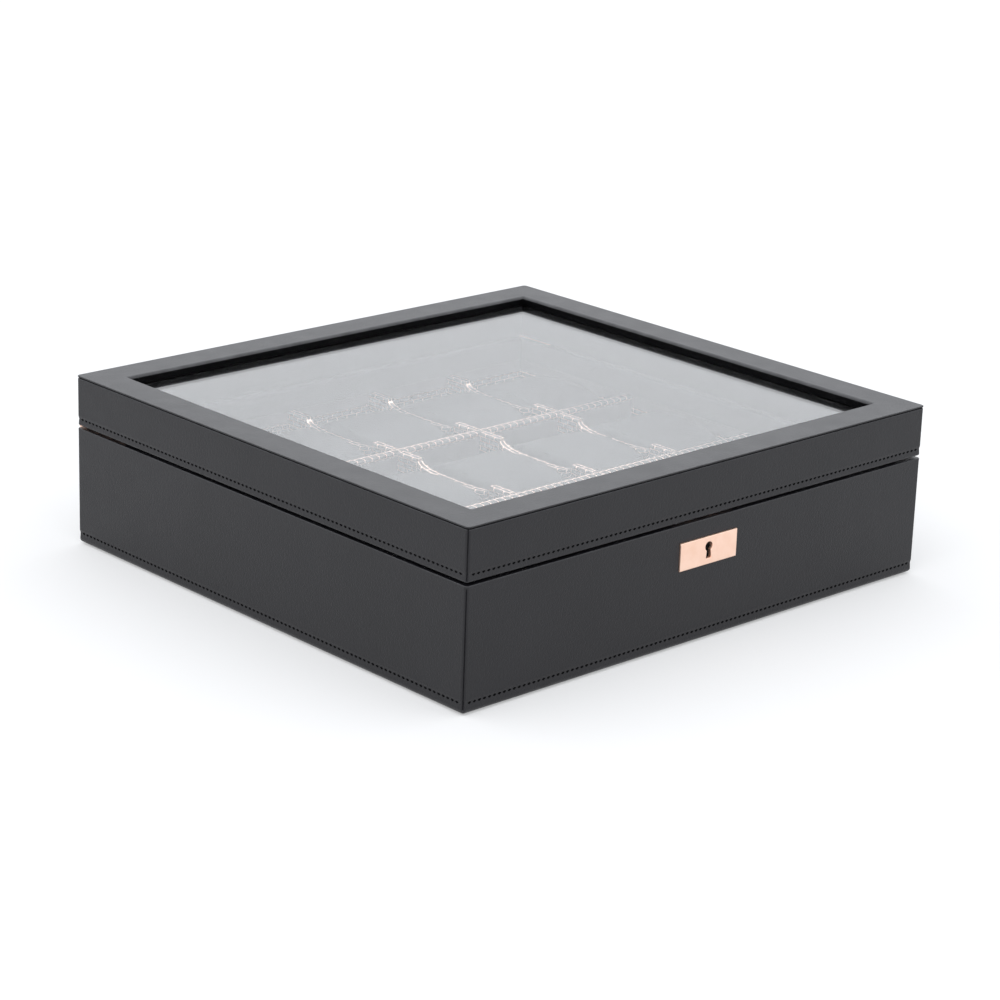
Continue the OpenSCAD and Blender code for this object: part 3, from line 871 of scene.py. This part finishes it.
@dataclass
class Base:
    """The lower case: its leather wrap, with openings for the lock and hinges, and its stitching."""

    finishes: Finishes
    turn_under: float = 6.0
    pinch: float = 0.42
    stitch_height: float = 6.3
    foot_round: float = 2.4
    rim_round: float = 0.55
    crown: float = 0.02
    gap: float = 0.3
    leather: Box = field(default_factory=lambda: Box.of("base_leather"))
    boards: Box = field(default_factory=lambda: Box.of("base_front_board", "base_back_board"))
    floor: Box = field(default_factory=lambda: Box.of("base_floor_board"))

    def section(self) -> tuple[tuple[float, float, float, float], ...]:
        """Returns the wrap's section: up the outside, over the rim, down the inner wall and back inside."""
        low, rim = self.leather.lo.z / MM, self.leather.hi.z / MM
        skin = (self.leather.hi.x - self.boards.hi.x) / MM
        wall = (self.leather.hi.x - self.floor.hi.x) / MM
        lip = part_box("lining_front")[1].z / MM
        stitch = self.stitch_height
        return ((self.turn_under, low, 0.1, 0), (0.0, low, self.foot_round, 0.7),
                (self.pinch, stitch, 0.8, 0), (0.0, stitch + 1.6, 3.0, 0), (self.crown, rim - 2.2, 0.5, 0),
                (0.0, rim, self.rim_round, 0.3), (wall + skin, rim, 0.9, 1), (wall + skin, lip, 0.1, 0),
                (wall, lip, 0.1, 0), (wall, rim - skin, 0.1, 0), (skin, rim - skin, 0.1, 0),
                (skin, low + skin, 0.1, 0), (self.turn_under, low + skin, 0.1, 0))

    def openings(self) -> list[Box]:
        """Returns what the lock plate, the lock and the hinge leaves take out of the leather."""
        plate, case = Box.of("lock_plate"), Box.of("lock_case")
        board_top, above = self.boards.hi.z, self.leather.hi.z + 5 * MM
        grow = Vector((1, 1, 1)) * self.gap * MM
        front = plate.lo - grow
        boxes = [Box(Vector((front.x, plate.lo.y - 5 * MM, front.z)),
                     Vector((plate.hi.x + grow.x, self.boards.lo.y, plate.hi.z + grow.z))),
                 Box(Vector((case.lo.x - grow.x, case.lo.y - grow.y, board_top - 0.3 * MM)),
                     Vector((case.hi.x + grow.x, case.hi.y + grow.y, above)))]
        for side in ("left", "right"):
            leaf = Box.of(f"hinge_lower_leaf_{side}")
            boxes.append(Box(Vector((leaf.lo.x - grow.x, leaf.lo.y - grow.y, board_top)),
                             Vector((leaf.hi.x + grow.x, self.leather.hi.y + 5 * MM, above))))
        return boxes

    def build(self, outline: CaseOutline) -> None:
        """Builds the wrap and its stitches."""
        rim = self.leather.hi.z / MM
        wrap = Wrap("base_wrap", self.section(), seam_from=2.5, seam_to=rim - 1.6).build(outline)
        cut(wrap, self.openings())
        fit(wrap, Body.BASE, self.finishes.leather, ("base_leather",))
        stitches = StitchRow("base_stitches", self.stitch_height).build(outline)
        fit(stitches, Body.BASE, self.finishes.thread)


# ---- Lid ----


@dataclass
class Lid:
    """The lid: a side wrap, a top wrap that turns down over it, and stitching above the seam."""

    finishes: Finishes
    pinch: float = 0.4
    stitch_rise: float = 4.4
    lip: float = 0.75
    undercut: float = 0.7
    top_round: float = 0.4
    opening_round: float = 2.0
    crown: float = 0.02
    low_relief: float = 0.45
    gap: float = 0.3
    side: Box = field(default_factory=lambda: Box.of("lid_side_leather"))
    top: Box = field(default_factory=lambda: Box.of("lid_top_leather"))
    glass: Box = field(default_factory=lambda: Box.of("lid_glass"))
    rails: Box = field(default_factory=lambda: Box.of("lid_front_rail", "lid_back_rail"))
    retainer: Box = field(default_factory=lambda: Box.of("glass_retainer"))
    frame_width: float = 20.7

    def side_section(self) -> tuple[tuple[float, float, float, float], ...]:
        """Returns the side wrap's section: up the outer face, inside, and down to the lower edge."""
        low, high = self.side.lo.z / MM + self.low_relief, self.side.hi.z / MM
        skin = (self.side.hi.x - self.rails.hi.x) / MM
        inside = low + skin - self.low_relief
        wall = (self.side.hi.x - self.retainer.hi.x) / MM - 0.2
        stop = self.retainer.lo.z / MM
        stitch = self.side.lo.z / MM + self.stitch_rise
        return ((0.0, low, 1.1, 0.8), (self.pinch, stitch, 0.8, 0), (0.0, stitch + 1.6, 3.0, 0),
                (self.crown, high - 2.0, 0.5, 0), (0.0, high - 0.4, 0.4, 0.5),
                (self.undercut, high - 0.06, 0.1, 0), (skin, high - 0.06, 0.1, 0),
                (skin, inside, 0.1, 0), (wall, inside, 0.1, 0),
                (wall, stop, 0.1, 0), (wall + skin, stop, 0.1, 0), (wall + skin, low, 0.8, 0.5))

    def top_section(self) -> tuple[tuple[float, float, float, float], ...]:
        """Returns the top wrap's section: over the frame, down its opening to the glass, and back inside."""
        low, high = self.side.hi.z / MM, self.top.hi.z / MM
        skin = (self.side.hi.x - self.rails.hi.x) / MM
        return ((self.undercut, low, 0.1, 0), (0.0, high - self.lip, 0.15, 0.4),
                (0.0, high, self.top_round, 1),
                (self.frame_width, high, self.opening_round, 1),
                (self.frame_width, self.glass.hi.z / MM, 0.1, 0),
                (self.frame_width - skin, self.glass.hi.z / MM, 0.1, 0),
                (self.frame_width - skin, high - skin, 0.1, 0), (skin, high - skin, 0.1, 0),
                (skin, low, 0.1, 0))

    def openings(self) -> list[Box]:
        """Returns what the strike plate and the hinge leaves take out of the side wrap."""
        strike = Box.of("strike_plate")
        below, grow = self.side.lo.z - 20 * MM, self.gap * MM
        boxes = [Box(Vector((strike.lo.x - grow, strike.lo.y - grow, below)),
                     Vector((strike.hi.x + grow, strike.hi.y + grow, strike.hi.z)))]
        for side in ("left", "right"):
            leaf = Box.of(f"hinge_upper_leaf_{side}")
            boxes.append(Box(Vector((leaf.lo.x - grow, leaf.lo.y - grow, below)),
                             Vector((leaf.hi.x + grow, self.side.hi.y + 5 * MM, self.rails.lo.z))))
        return boxes

    def blacken_opening(self, top: bpy.types.Object) -> None:
        """Gives the upright wall of the opening, below its rounded edge, the dull black finish of a cut edge.

        Args:
            top: the top wrap.
        """
        top.data.materials.append(self.finishes.edge)
        centres = np.zeros(len(top.data.polygons) * 3, np.float32)
        top.data.polygons.foreach_get("center", centres)
        x, y, z = np.abs(centres.reshape(-1, 3).T)
        reach = Vector((self.top.hi.x, self.top.hi.y)) - Vector((1, 1)) * (self.frame_width - 0.3) * MM
        inner = (x < reach.x) & (y < reach.y) & (z < self.top.hi.z - 0.8 * self.opening_round * MM)
        top.data.polygons.foreach_set("material_index", inner.astype(np.int32))

    def build(self, outline: CaseOutline) -> None:
        """Builds both wraps and the stitches."""
        low, high = self.side.lo.z / MM, self.side.hi.z / MM
        side = Wrap("lid_side_wrap", self.side_section(), seam_from=low + 0.8, seam_to=high).build(outline)
        cut(side, self.openings())
        fit(side, Body.LID, self.finishes.leather, ("lid_side_leather",))
        top = Wrap("lid_top_wrap", self.top_section(), seam_from=high, seam_to=high).build(outline)
        fit(top, Body.LID, self.finishes.leather, ("lid_top_leather",))
        self.blacken_opening(top)
        stitches = StitchRow("lid_stitches", low + self.stitch_rise).build(outline)
        fit(stitches, Body.LID, self.finishes.thread)


# ---- Cells ----


@dataclass
class Cells:
    """The linings on the four walls and the half-lapped dividers between the cells."""

    finishes: Finishes
    columns: int = 5
    rows: int = 3
    notch_gap: float = 0.1
    scoop_depth: float = 5.5
    scoop_land: float = 16.0
    scoop_power: float = 3.0

    def strip(self, name: str, along: int) -> Bar:
        """Returns the bar that stands for a CAD divider or lining, lying along X (0) or Y (1)."""
        box = Box.of(name)
        lo, hi = np.array(box.lo) / MM, np.array(box.hi) / MM
        return Bar(f"{name}_cover", along, lo[along], hi[along], (lo[1 - along] + hi[1 - along]) / 2,
                   hi[1 - along] - lo[1 - along], lo[2], hi[2])

    def notches(self, name: str, along: int, crossing: list[str]) -> list[Box]:
        """Returns the half-lap notches of a divider.

        Args:
            name: the divider's CAD node.
            along: the axis that it lies along.
            crossing: the dividers that cross it.
        """
        own = Box.of(name)
        gap, reach = self.notch_gap * MM, 5 * MM
        boxes = []
        for other in map(Box.of, crossing):
            lo, hi = own.lo.copy(), own.hi.copy()
            lo[along], hi[along] = other.lo[along] - gap, other.hi[along] + gap
            lo[1 - along] -= reach
            hi[1 - along] += reach
            if along == 1:
                lo.z, hi.z = own.centre.z - gap, own.hi.z + reach
            else:
                lo.z, hi.z = own.lo.z - reach, own.centre.z + gap
            boxes.append(Box(lo, hi))
        return boxes

    def scoops(self, bar: Bar) -> tuple[Array, Array]:
        """Works out how a column divider's top edge sinks beside each cuff.

        In each cell the drop is depth * (1 - |t| to the power) to the 1/power, where t runs from -1 to 1
        across the cell less the two lands. It is 0 on the lands and over the row dividers.

        Args:
            bar: the divider.

        Returns:
            Places along the bar and the drop at each, in millimetres.
        """
        rows = [Box.of(f"row_divider_{n}") for n in range(1, self.rows)]
        starts = [bar.start] + [row.hi.y / MM for row in rows]
        ends = [row.lo.y / MM for row in rows] + [bar.end]
        bend = np.sin(np.linspace(-math.pi / 2, math.pi / 2, 61))
        places, drops = [], []
        for start, end in zip(starts, ends):
            half = (end - start) / 2 - self.scoop_land
            land = np.linspace(0, self.scoop_land, 8)[:-1]
            curve = (1 - np.abs(bend) ** self.scoop_power) ** (1 / self.scoop_power)
            places += [start + land, (start + end) / 2 + half * bend, end - land[::-1]]
            drops += [0 * land, self.scoop_depth * curve, 0 * land]
        return np.concatenate(places), np.concatenate(drops)

    def build(self) -> None:
        """Builds the linings and the dividers."""
        front, wall = self.finishes.column_lining, self.finishes.wall_lining
        for name, along, finish in (("lining_front", 0, front), ("lining_back", 0, wall),
                                    ("lining_left", 1, wall), ("lining_right", 1, wall)):
            fit(self.strip(name, along).build(), Body.BASE, finish, (name,))
        columns = [f"column_divider_{n}" for n in range(1, self.columns)]
        rows = [f"row_divider_{n}" for n in range(1, self.rows)]
        for name in columns:
            bar = self.strip(name, 1)
            places, drops = self.scoops(bar)
            piece = bar.build(drops, places)
            cut(piece, self.notches(name, 1, rows))
            fit(piece, Body.BASE, self.finishes.column_lining, (name,))
        for name in rows:
            piece = self.strip(name, 0).build()
            cut(piece, self.notches(name, 0, columns))
            fit(piece, Body.BASE, self.finishes.row_lining, (name,))


# ---- Cuffs ----


@dataclass
class Cuffs:
    """Fifteen removable cuffs: a foam drum in thin leather, swelled by cloth simulation, with piped ends."""

    finishes: Finishes
    count: int = 15
    power: float = 2.6
    end_power: float = 14.0
    shrink: float = 1.0
    voxel: float = 3.2
    pressure: float = 4.0
    frames: int = 20
    most_swell: float = 5.0
    free_share: float = 0.93
    limit_gap: float = 0.15
    pipe_radius: float = 0.75
    pipe_inset: float = 3.0
    gathers: int = 26
    gather: float = 0.16
    gather_reach: float = 9.0
    sway: float = 0.22
    fill: float = 0.85

    def drum(self, size: Array) -> bpy.types.Object:
        """Builds the cuff's pattern before it is stuffed.

        Across the watch strap the section is a superellipse of the given power. Along X the place is
        half width * |sin b| to the 2/end power and the section is scaled by |cos b| to the 2/end power.

        Args:
            size: full width, length and height, in metres.

        Returns:
            The drum's object, centred on the origin.
        """
        around = np.linspace(0, 2 * math.pi, 73)[:-1]
        across = np.linspace(-math.pi / 2, math.pi / 2, 37)[:, None]
        width = np.sign(np.sin(across)) * np.abs(np.sin(across)) ** (2 / self.end_power)
        scale = np.abs(np.cos(across)) ** (2 / self.end_power)
        rim = [np.sign(f(around)) * np.abs(f(around)) ** (2 / self.power) for f in (np.cos, np.sin)]
        points = np.stack(np.broadcast_arrays(width * size[0] / 2, scale * rim[0] * size[1] / 2,
                                              scale * rim[1] * size[2] / 2), axis=-1)
        return make_piece("cuff_pattern", points, grid_faces(*points.shape[:2], False, True))

    def swell(self, obj: bpy.types.Object) -> None:
        """Fills the cuff by cloth simulation and keeps the shape it takes.

        Args:
            obj: the unstuffed cuff. Its mesh is remeshed and then moved by no more than the most swell.
        """
        remesh = obj.modifiers.new("even", "REMESH")
        remesh.mode, remesh.voxel_size = "VOXEL", self.voxel * MM
        keep_modified(obj)
        rest = read_points(obj.data)
        cloth = obj.modifiers.new("stuffing", "CLOTH")
        cloth.settings.use_pressure = True
        cloth.settings.uniform_pressure_force = self.pressure
        cloth.settings.effector_weights.gravity = 0
        scene = bpy.context.scene
        for number in range(1, self.frames + 1):
            scene.frame_set(number)
        keep_modified(obj)
        move = read_points(obj.data) - rest
        length = np.linalg.norm(move, axis=1, keepdims=True)
        write_points(obj.data, rest + move * np.minimum(1, self.most_swell * MM / np.maximum(length, 1e-9)))
        scene.frame_set(1)
        log.info("cuff swelled by up to %.1f mm", float(length.max()) / MM)

    def settle(self, points: Array, half: Array) -> Array:
        """Presses points softly inside half sizes: past the free share, what is left follows a tanh curve."""
        share, free = points / half, self.free_share
        past = np.maximum(np.abs(share) - free, 0)
        pressed = np.minimum(np.abs(share), free) + (1 - free) * np.tanh(past / (1 - free))
        return np.sign(share) * pressed * half

    def piping(self, points: Array, half: Array) -> tuple[Array, list[list[int]]]:
        """Works out a thin cord along both ends of a cuff.

        The cord's middle follows the cuff's own radius, read off the points near each end and smoothed by
        angle. A circle of eight points is carried along it, in the plane of the radius and the X axis.

        Args:
            points: the cuff's points, centred on the origin.
            half: the cuff's half sizes.

        Returns:
            The points of both cords, and their faces.
        """
        turn = np.linspace(-math.pi, math.pi, 97)[:-1]
        tube = np.arange(8) * math.pi / 4
        cords, faces = [], []
        for sign in (-1, 1):
            place = sign * (half[0] - self.pipe_inset * MM)
            near = points[np.abs(points[:, 0] - place) < 0.6 * self.voxel * MM]
            angle, radius = np.arctan2(near[:, 2], near[:, 1]), np.hypot(near[:, 1], near[:, 2])
            outer = radius > 0.8 * np.interp(angle, turn, self.rim_radius(turn, half))
            order = np.argsort(angle[outer])
            follow = np.interp(turn, angle[outer][order], radius[outer][order], period=2 * math.pi)
            wave = np.fft.rfft(follow)
            wave[14:] = 0
            follow = np.fft.irfft(wave, len(turn)) - 0.2 * self.pipe_radius * MM
            out = follow[:, None] + self.pipe_radius * MM * np.cos(tube)
            cords.append(np.stack([np.broadcast_to(place + self.pipe_radius * MM * np.sin(tube), out.shape),
                                   out * np.cos(turn)[:, None], out * np.sin(turn)[:, None]], axis=-1))
            base = (len(cords) - 1) * len(turn) * len(tube)
            faces += (np.array(grid_faces(len(turn), len(tube), True, True)) + base).tolist()
        return np.stack(cords).reshape(-1, 3), faces

    def rim_radius(self, turn: Array, half: Array) -> Array:
        """Returns a superellipse's radius, where |cos / a| and |sin / b| to the power add up to 1."""
        cosine, sine = np.abs(np.cos(turn)) / half[1], np.abs(np.sin(turn)) / half[2]
        total = cosine ** self.power + sine ** self.power
        return total ** (-1 / self.power)

    def rumple(self, points: Array, half: Array, number: int) -> Array:
        """Adds the small creases that gather at the piping, different on each cuff.

        Each point moves along its radius by a wave in angle, which dies away with the distance from the
        piping, plus a slower wave over the whole drum.

        Args:
            points: the cuff's points, centred on the origin.
            half: the cuff's half sizes.
            number: the cuff's number, which sets the waves' phases.

        Returns:
            The moved points.
        """
        angle = np.arctan2(points[:, 2], points[:, 1])
        from_pipe = np.abs(np.abs(points[:, 0]) - half[0] + self.pipe_inset * MM) / MM
        gather = self.gather * np.exp(-from_pipe / self.gather_reach)
        gather = gather * np.sin(self.gathers * angle + 1.7 * number + np.sign(points[:, 0]))
        sway = self.sway * np.sin(2 * angle + 2.1 * number) * np.sin(points[:, 0] / half[0] * 2.2 + number)
        depth = (gather + sway) * MM
        radius = np.hypot(points[:, 1], points[:, 2])
        scale = 1 + depth / np.maximum(radius, 6 * MM)
        return points * np.stack([np.ones_like(scale), scale, scale], axis=1)

    def build(self) -> None:
        """Stuffs one cuff, then places a copy of its own in each cell."""
        box = Box.of("watch_cuff_1")
        size = np.array(box.size)
        pattern = self.drum(size - self.shrink * MM * np.array([1.2, 1.0, 1.0]))
        self.swell(pattern)
        even = pattern.modifiers.new("finer", "SUBSURF")
        even.levels = even.render_levels = 1
        keep_modified(pattern)
        half = size / 2
        shape = self.settle(read_points(pattern.data), half - self.limit_gap * MM)
        for number in range(1, self.count + 1):
            place = np.array(Box.of(f"watch_cuff_{number}").centre)
            rumpled = self.settle(self.rumple(shape, half, number), half - 0.05 * MM)
            mesh = pattern.data.copy()
            write_points(mesh, rumpled + place)
            cuff = bpy.data.objects.new(f"cuff_cushion_{number}", mesh)
            bpy.context.scene.collection.objects.link(cuff)
            face_outwards(mesh)
            mesh.shade_smooth()
            fit(cuff, f"cuff_{number}", self.finishes.cuff, (f"watch_cuff_{number}",))
            points, faces = self.piping(rumpled, half)
            pipe = make_piece(f"cuff_piping_{number}", points + place, faces)
            fit(pipe, f"cuff_{number}", self.finishes.cuff)
        bpy.data.objects.remove(pattern)


# ---- Lock ----


@dataclass
class LockPlate:
    """The plate on the front: a bevelled rectangle with a keyhole that widens towards its foot."""

    finishes: Finishes
    bevel: float = 0.35
    key_radius: float = 2.6
    waist: float = 1.3
    foot: float = 1.9
    foot_rise: float = 3.3
    points_round: int = 240
    plate: Box = field(default_factory=lambda: Box.of("lock_plate"))

    def key_outline(self, angle: Array, drop: float) -> Array:
        """Returns the keyhole's radius at each angle round the middle of its round part.

        The radius is the circle's, or that of the slot below where it reaches further. The slot's side is a
        slanting line and its foot a level one, so a ray ends at the nearer of the two.

        Args:
            angle: directions in the plate's plane, from +X towards +Z.
            drop: how far the slot's foot lies below the middle, in millimetres.
        """
        slope = (self.foot - self.waist) / drop
        down, side = np.maximum(-np.sin(angle), 1e-9), np.abs(np.cos(angle))
        to_side = self.waist / np.maximum(side - slope * down, 1e-9)
        slot = np.where(np.sin(angle) < 0, np.minimum(to_side, drop / down), 0)
        return np.maximum(self.key_radius, slot)

    def build(self) -> None:
        """Builds the plate as one closed surface of rings round the keyhole.

        A ring is a radius for each angle. The rings run from the back of the keyhole, over its bevelled edge
        and across the face to the rectangle's bevelled edge, down its side and across the back.
        """
        lo, hi = np.array(self.plate.lo) / MM, np.array(self.plate.hi) / MM
        keyhole = next(mount for mount in frame["record"]["mounts"] if mount["name"] == "keyhole")
        middle = keyhole["pos_m"][2] / MM
        corners = np.arctan2([hi[2] - middle, hi[2] - middle, lo[2] - middle, lo[2] - middle],
                             [hi[0], lo[0], lo[0], hi[0]])
        angle = np.sort(np.concatenate([np.linspace(-math.pi, math.pi, self.points_round + 1)[:-1], corners]))
        key = self.key_outline(angle, middle - lo[2] - self.foot_rise)

        def rectangle(inset: float) -> Array:
            """Returns the rectangle's radius at each angle, with its sides moved in."""
            across = (hi[0] - inset) / np.maximum(np.abs(np.cos(angle)), 1e-9)
            reach = np.where(np.sin(angle) > 0, hi[2] - inset - middle, middle - lo[2] - inset)
            return np.minimum(across, reach / np.maximum(np.abs(np.sin(angle)), 1e-9))

        soft = self.bevel
        face, back = lo[1], hi[1]
        edge = 0.3 * soft
        rings = [(key, back), (key, face + soft), (key + edge, face + edge), (key + soft, face),
                 (key + 2 * soft, face), (rectangle(2 * soft), face), (rectangle(soft), face),
                 (rectangle(edge), face + edge), (rectangle(0), face + soft), (rectangle(0), back)]
        points = np.stack([np.stack([radius * np.cos(angle), np.full(len(angle), depth),
                                     middle + radius * np.sin(angle)], axis=-1) for radius, depth in rings])
        piece = make_piece("lock_plate_face", points * MM, grid_faces(len(rings), len(angle), True, True))
        fit(piece, Body.BASE, self.finishes.copper, ("lock_plate",))


# ---- Studio ----


@dataclass(frozen=True)
class Studio:
    """The camera, the soft light and the plain floor, sizes in metres.

    The floor is one pale colour with a faint even glow, and every surface sees it alike.
    """

    camera_place: tuple[float, float, float] = (-1.0819, -1.1521, 0.5632)
    camera_aim: tuple[float, float, float] = (0.64991, 0.69044, -0.31767)
    roll: float = math.radians(1.962)
    lens: float = 108.49
    lamp_place: tuple[float, float, float] = (-1.3, -0.5, 2.0)
    lamp_size: float = 1.4
    lamp_power: float = 12.0
    sky_levels: tuple[tuple[float, float], ...] = (
        (0.0, 0.35), (0.48, 0.40), (0.51, 0.45), (0.57, 0.62), (0.62, 0.70), (0.67, 0.83), (0.76, 1.45),
        (0.86, 1.25), (1.0, 0.7))
    sky_tint: Colour = (0.945, 0.965, 1.0)
    sky_strength: float = 2.0
    floor_half: float = 30.0
    floor_squares: int = 24
    floor_drop: float = 0.0003
    floor_colour: Colour = (0.35, 0.35, 0.35)
    floor_glow: float = 0.34

    def camera(self) -> None:
        """Places the camera along its aim, turned a little about it."""
        aim = Vector(self.camera_aim).normalized()
        level = aim.cross(Vector((0, 0, 1))).normalized()
        upright = level.cross(aim)
        right = level * math.cos(self.roll) + upright * math.sin(self.roll)
        up = upright * math.cos(self.roll) - level * math.sin(self.roll)
        data = bpy.data.cameras.new("camera")
        data.lens = self.lens
        data.clip_start, data.clip_end = 0.01, 200
        obj = bpy.data.objects.new("camera", data)
        turned = Matrix((right, up, -aim)).transposed().to_4x4()
        obj.matrix_world = Matrix.Translation(self.camera_place) @ turned
        bpy.context.scene.collection.objects.link(obj)
        bpy.context.scene.camera = obj

    def sky(self) -> None:
        """Lights the scene from all round. The levels run from straight down, at 0, to overhead, at 1."""
        world = bpy.data.worlds.new("soft_studio")
        world.use_nodes = True
        tree = world.node_tree
        place = tree.nodes.new("ShaderNodeTexCoord")
        split = tree.nodes.new("ShaderNodeSeparateXYZ")
        ramp = tree.nodes.new("ShaderNodeValToRGB")
        tree.links.new(place.outputs["Generated"], split.inputs[0])
        height = tree.nodes.new("ShaderNodeMapRange")
        height.inputs["From Min"].default_value = -1
        tree.links.new(split.outputs[2], height.inputs["Value"])
        tree.links.new(height.outputs[0], ramp.inputs["Fac"])
        ramp.color_ramp.elements.remove(ramp.color_ramp.elements[1])
        for index, (at, level) in enumerate(self.sky_levels):
            stop = ramp.color_ramp.elements[0] if index == 0 else ramp.color_ramp.elements.new(at)
            stop.position, stop.color = at, (*(part * level for part in self.sky_tint), 1)
        background = tree.nodes["Background"]
        background.inputs["Strength"].default_value = self.sky_strength
        tree.links.new(ramp.outputs[0], background.inputs["Color"])
        bpy.context.scene.world = world

    def lamp(self) -> None:
        """Adds a square soft lamp that points at the box."""
        data = bpy.data.lights.new("key_lamp", "AREA")
        data.size, data.energy = self.lamp_size, self.lamp_power
        obj = bpy.data.objects.new("key_lamp", data)
        obj.location = self.lamp_place
        aim = Vector((0, 0, 0.05)) - Vector(self.lamp_place)
        obj.rotation_euler = aim.to_track_quat("-Z", "Y").to_euler()
        bpy.context.scene.collection.objects.link(obj)

    def floor(self) -> None:
        """Lays a large plain floor under the box: one pale colour with a faint even glow."""
        count = self.floor_squares + 1
        side = np.linspace(-self.floor_half, self.floor_half, count)
        x, y = np.meshgrid(side, side, indexing="ij")
        points = np.stack([x, y, np.full_like(x, -self.floor_drop)], axis=-1)
        mesh = bpy.data.meshes.new("floor")
        mesh.from_pydata(points.reshape(-1, 3).tolist(), [], grid_faces(count, count, False, False))
        obj = bpy.data.objects.new("floor", mesh)
        bpy.context.scene.collection.objects.link(obj)
        graph = NodeGraph("pale_floor")
        graph.shade(Base_Color=self.floor_colour, Roughness=0.9, Specular_IOR_Level=0.0,
                    Emission_Color=(1.0, 1.0, 1.0), Emission_Strength=self.floor_glow)
        mesh.materials.append(graph.material)

    def build(self) -> None:
        """Sets up the camera, the light and the floor."""
        self.camera()
        self.sky()
        self.lamp()
        self.floor()
        bpy.context.scene.view_settings.view_transform = "Standard"
        log.info("studio ready")


def main() -> None:
    """Builds the studio and the box, piece by piece."""
    Studio().build()
    finishes = Finishes()
    finishes.dress_frame()
    outline = CaseOutline.of(Box.of("base_leather"))
    Base(finishes).build(outline)
    Lid(finishes).build(outline)
    Cells(finishes).build()
    LockPlate(finishes).build()
    Cuffs(finishes).build()


if __name__ == "__main__":
    main()
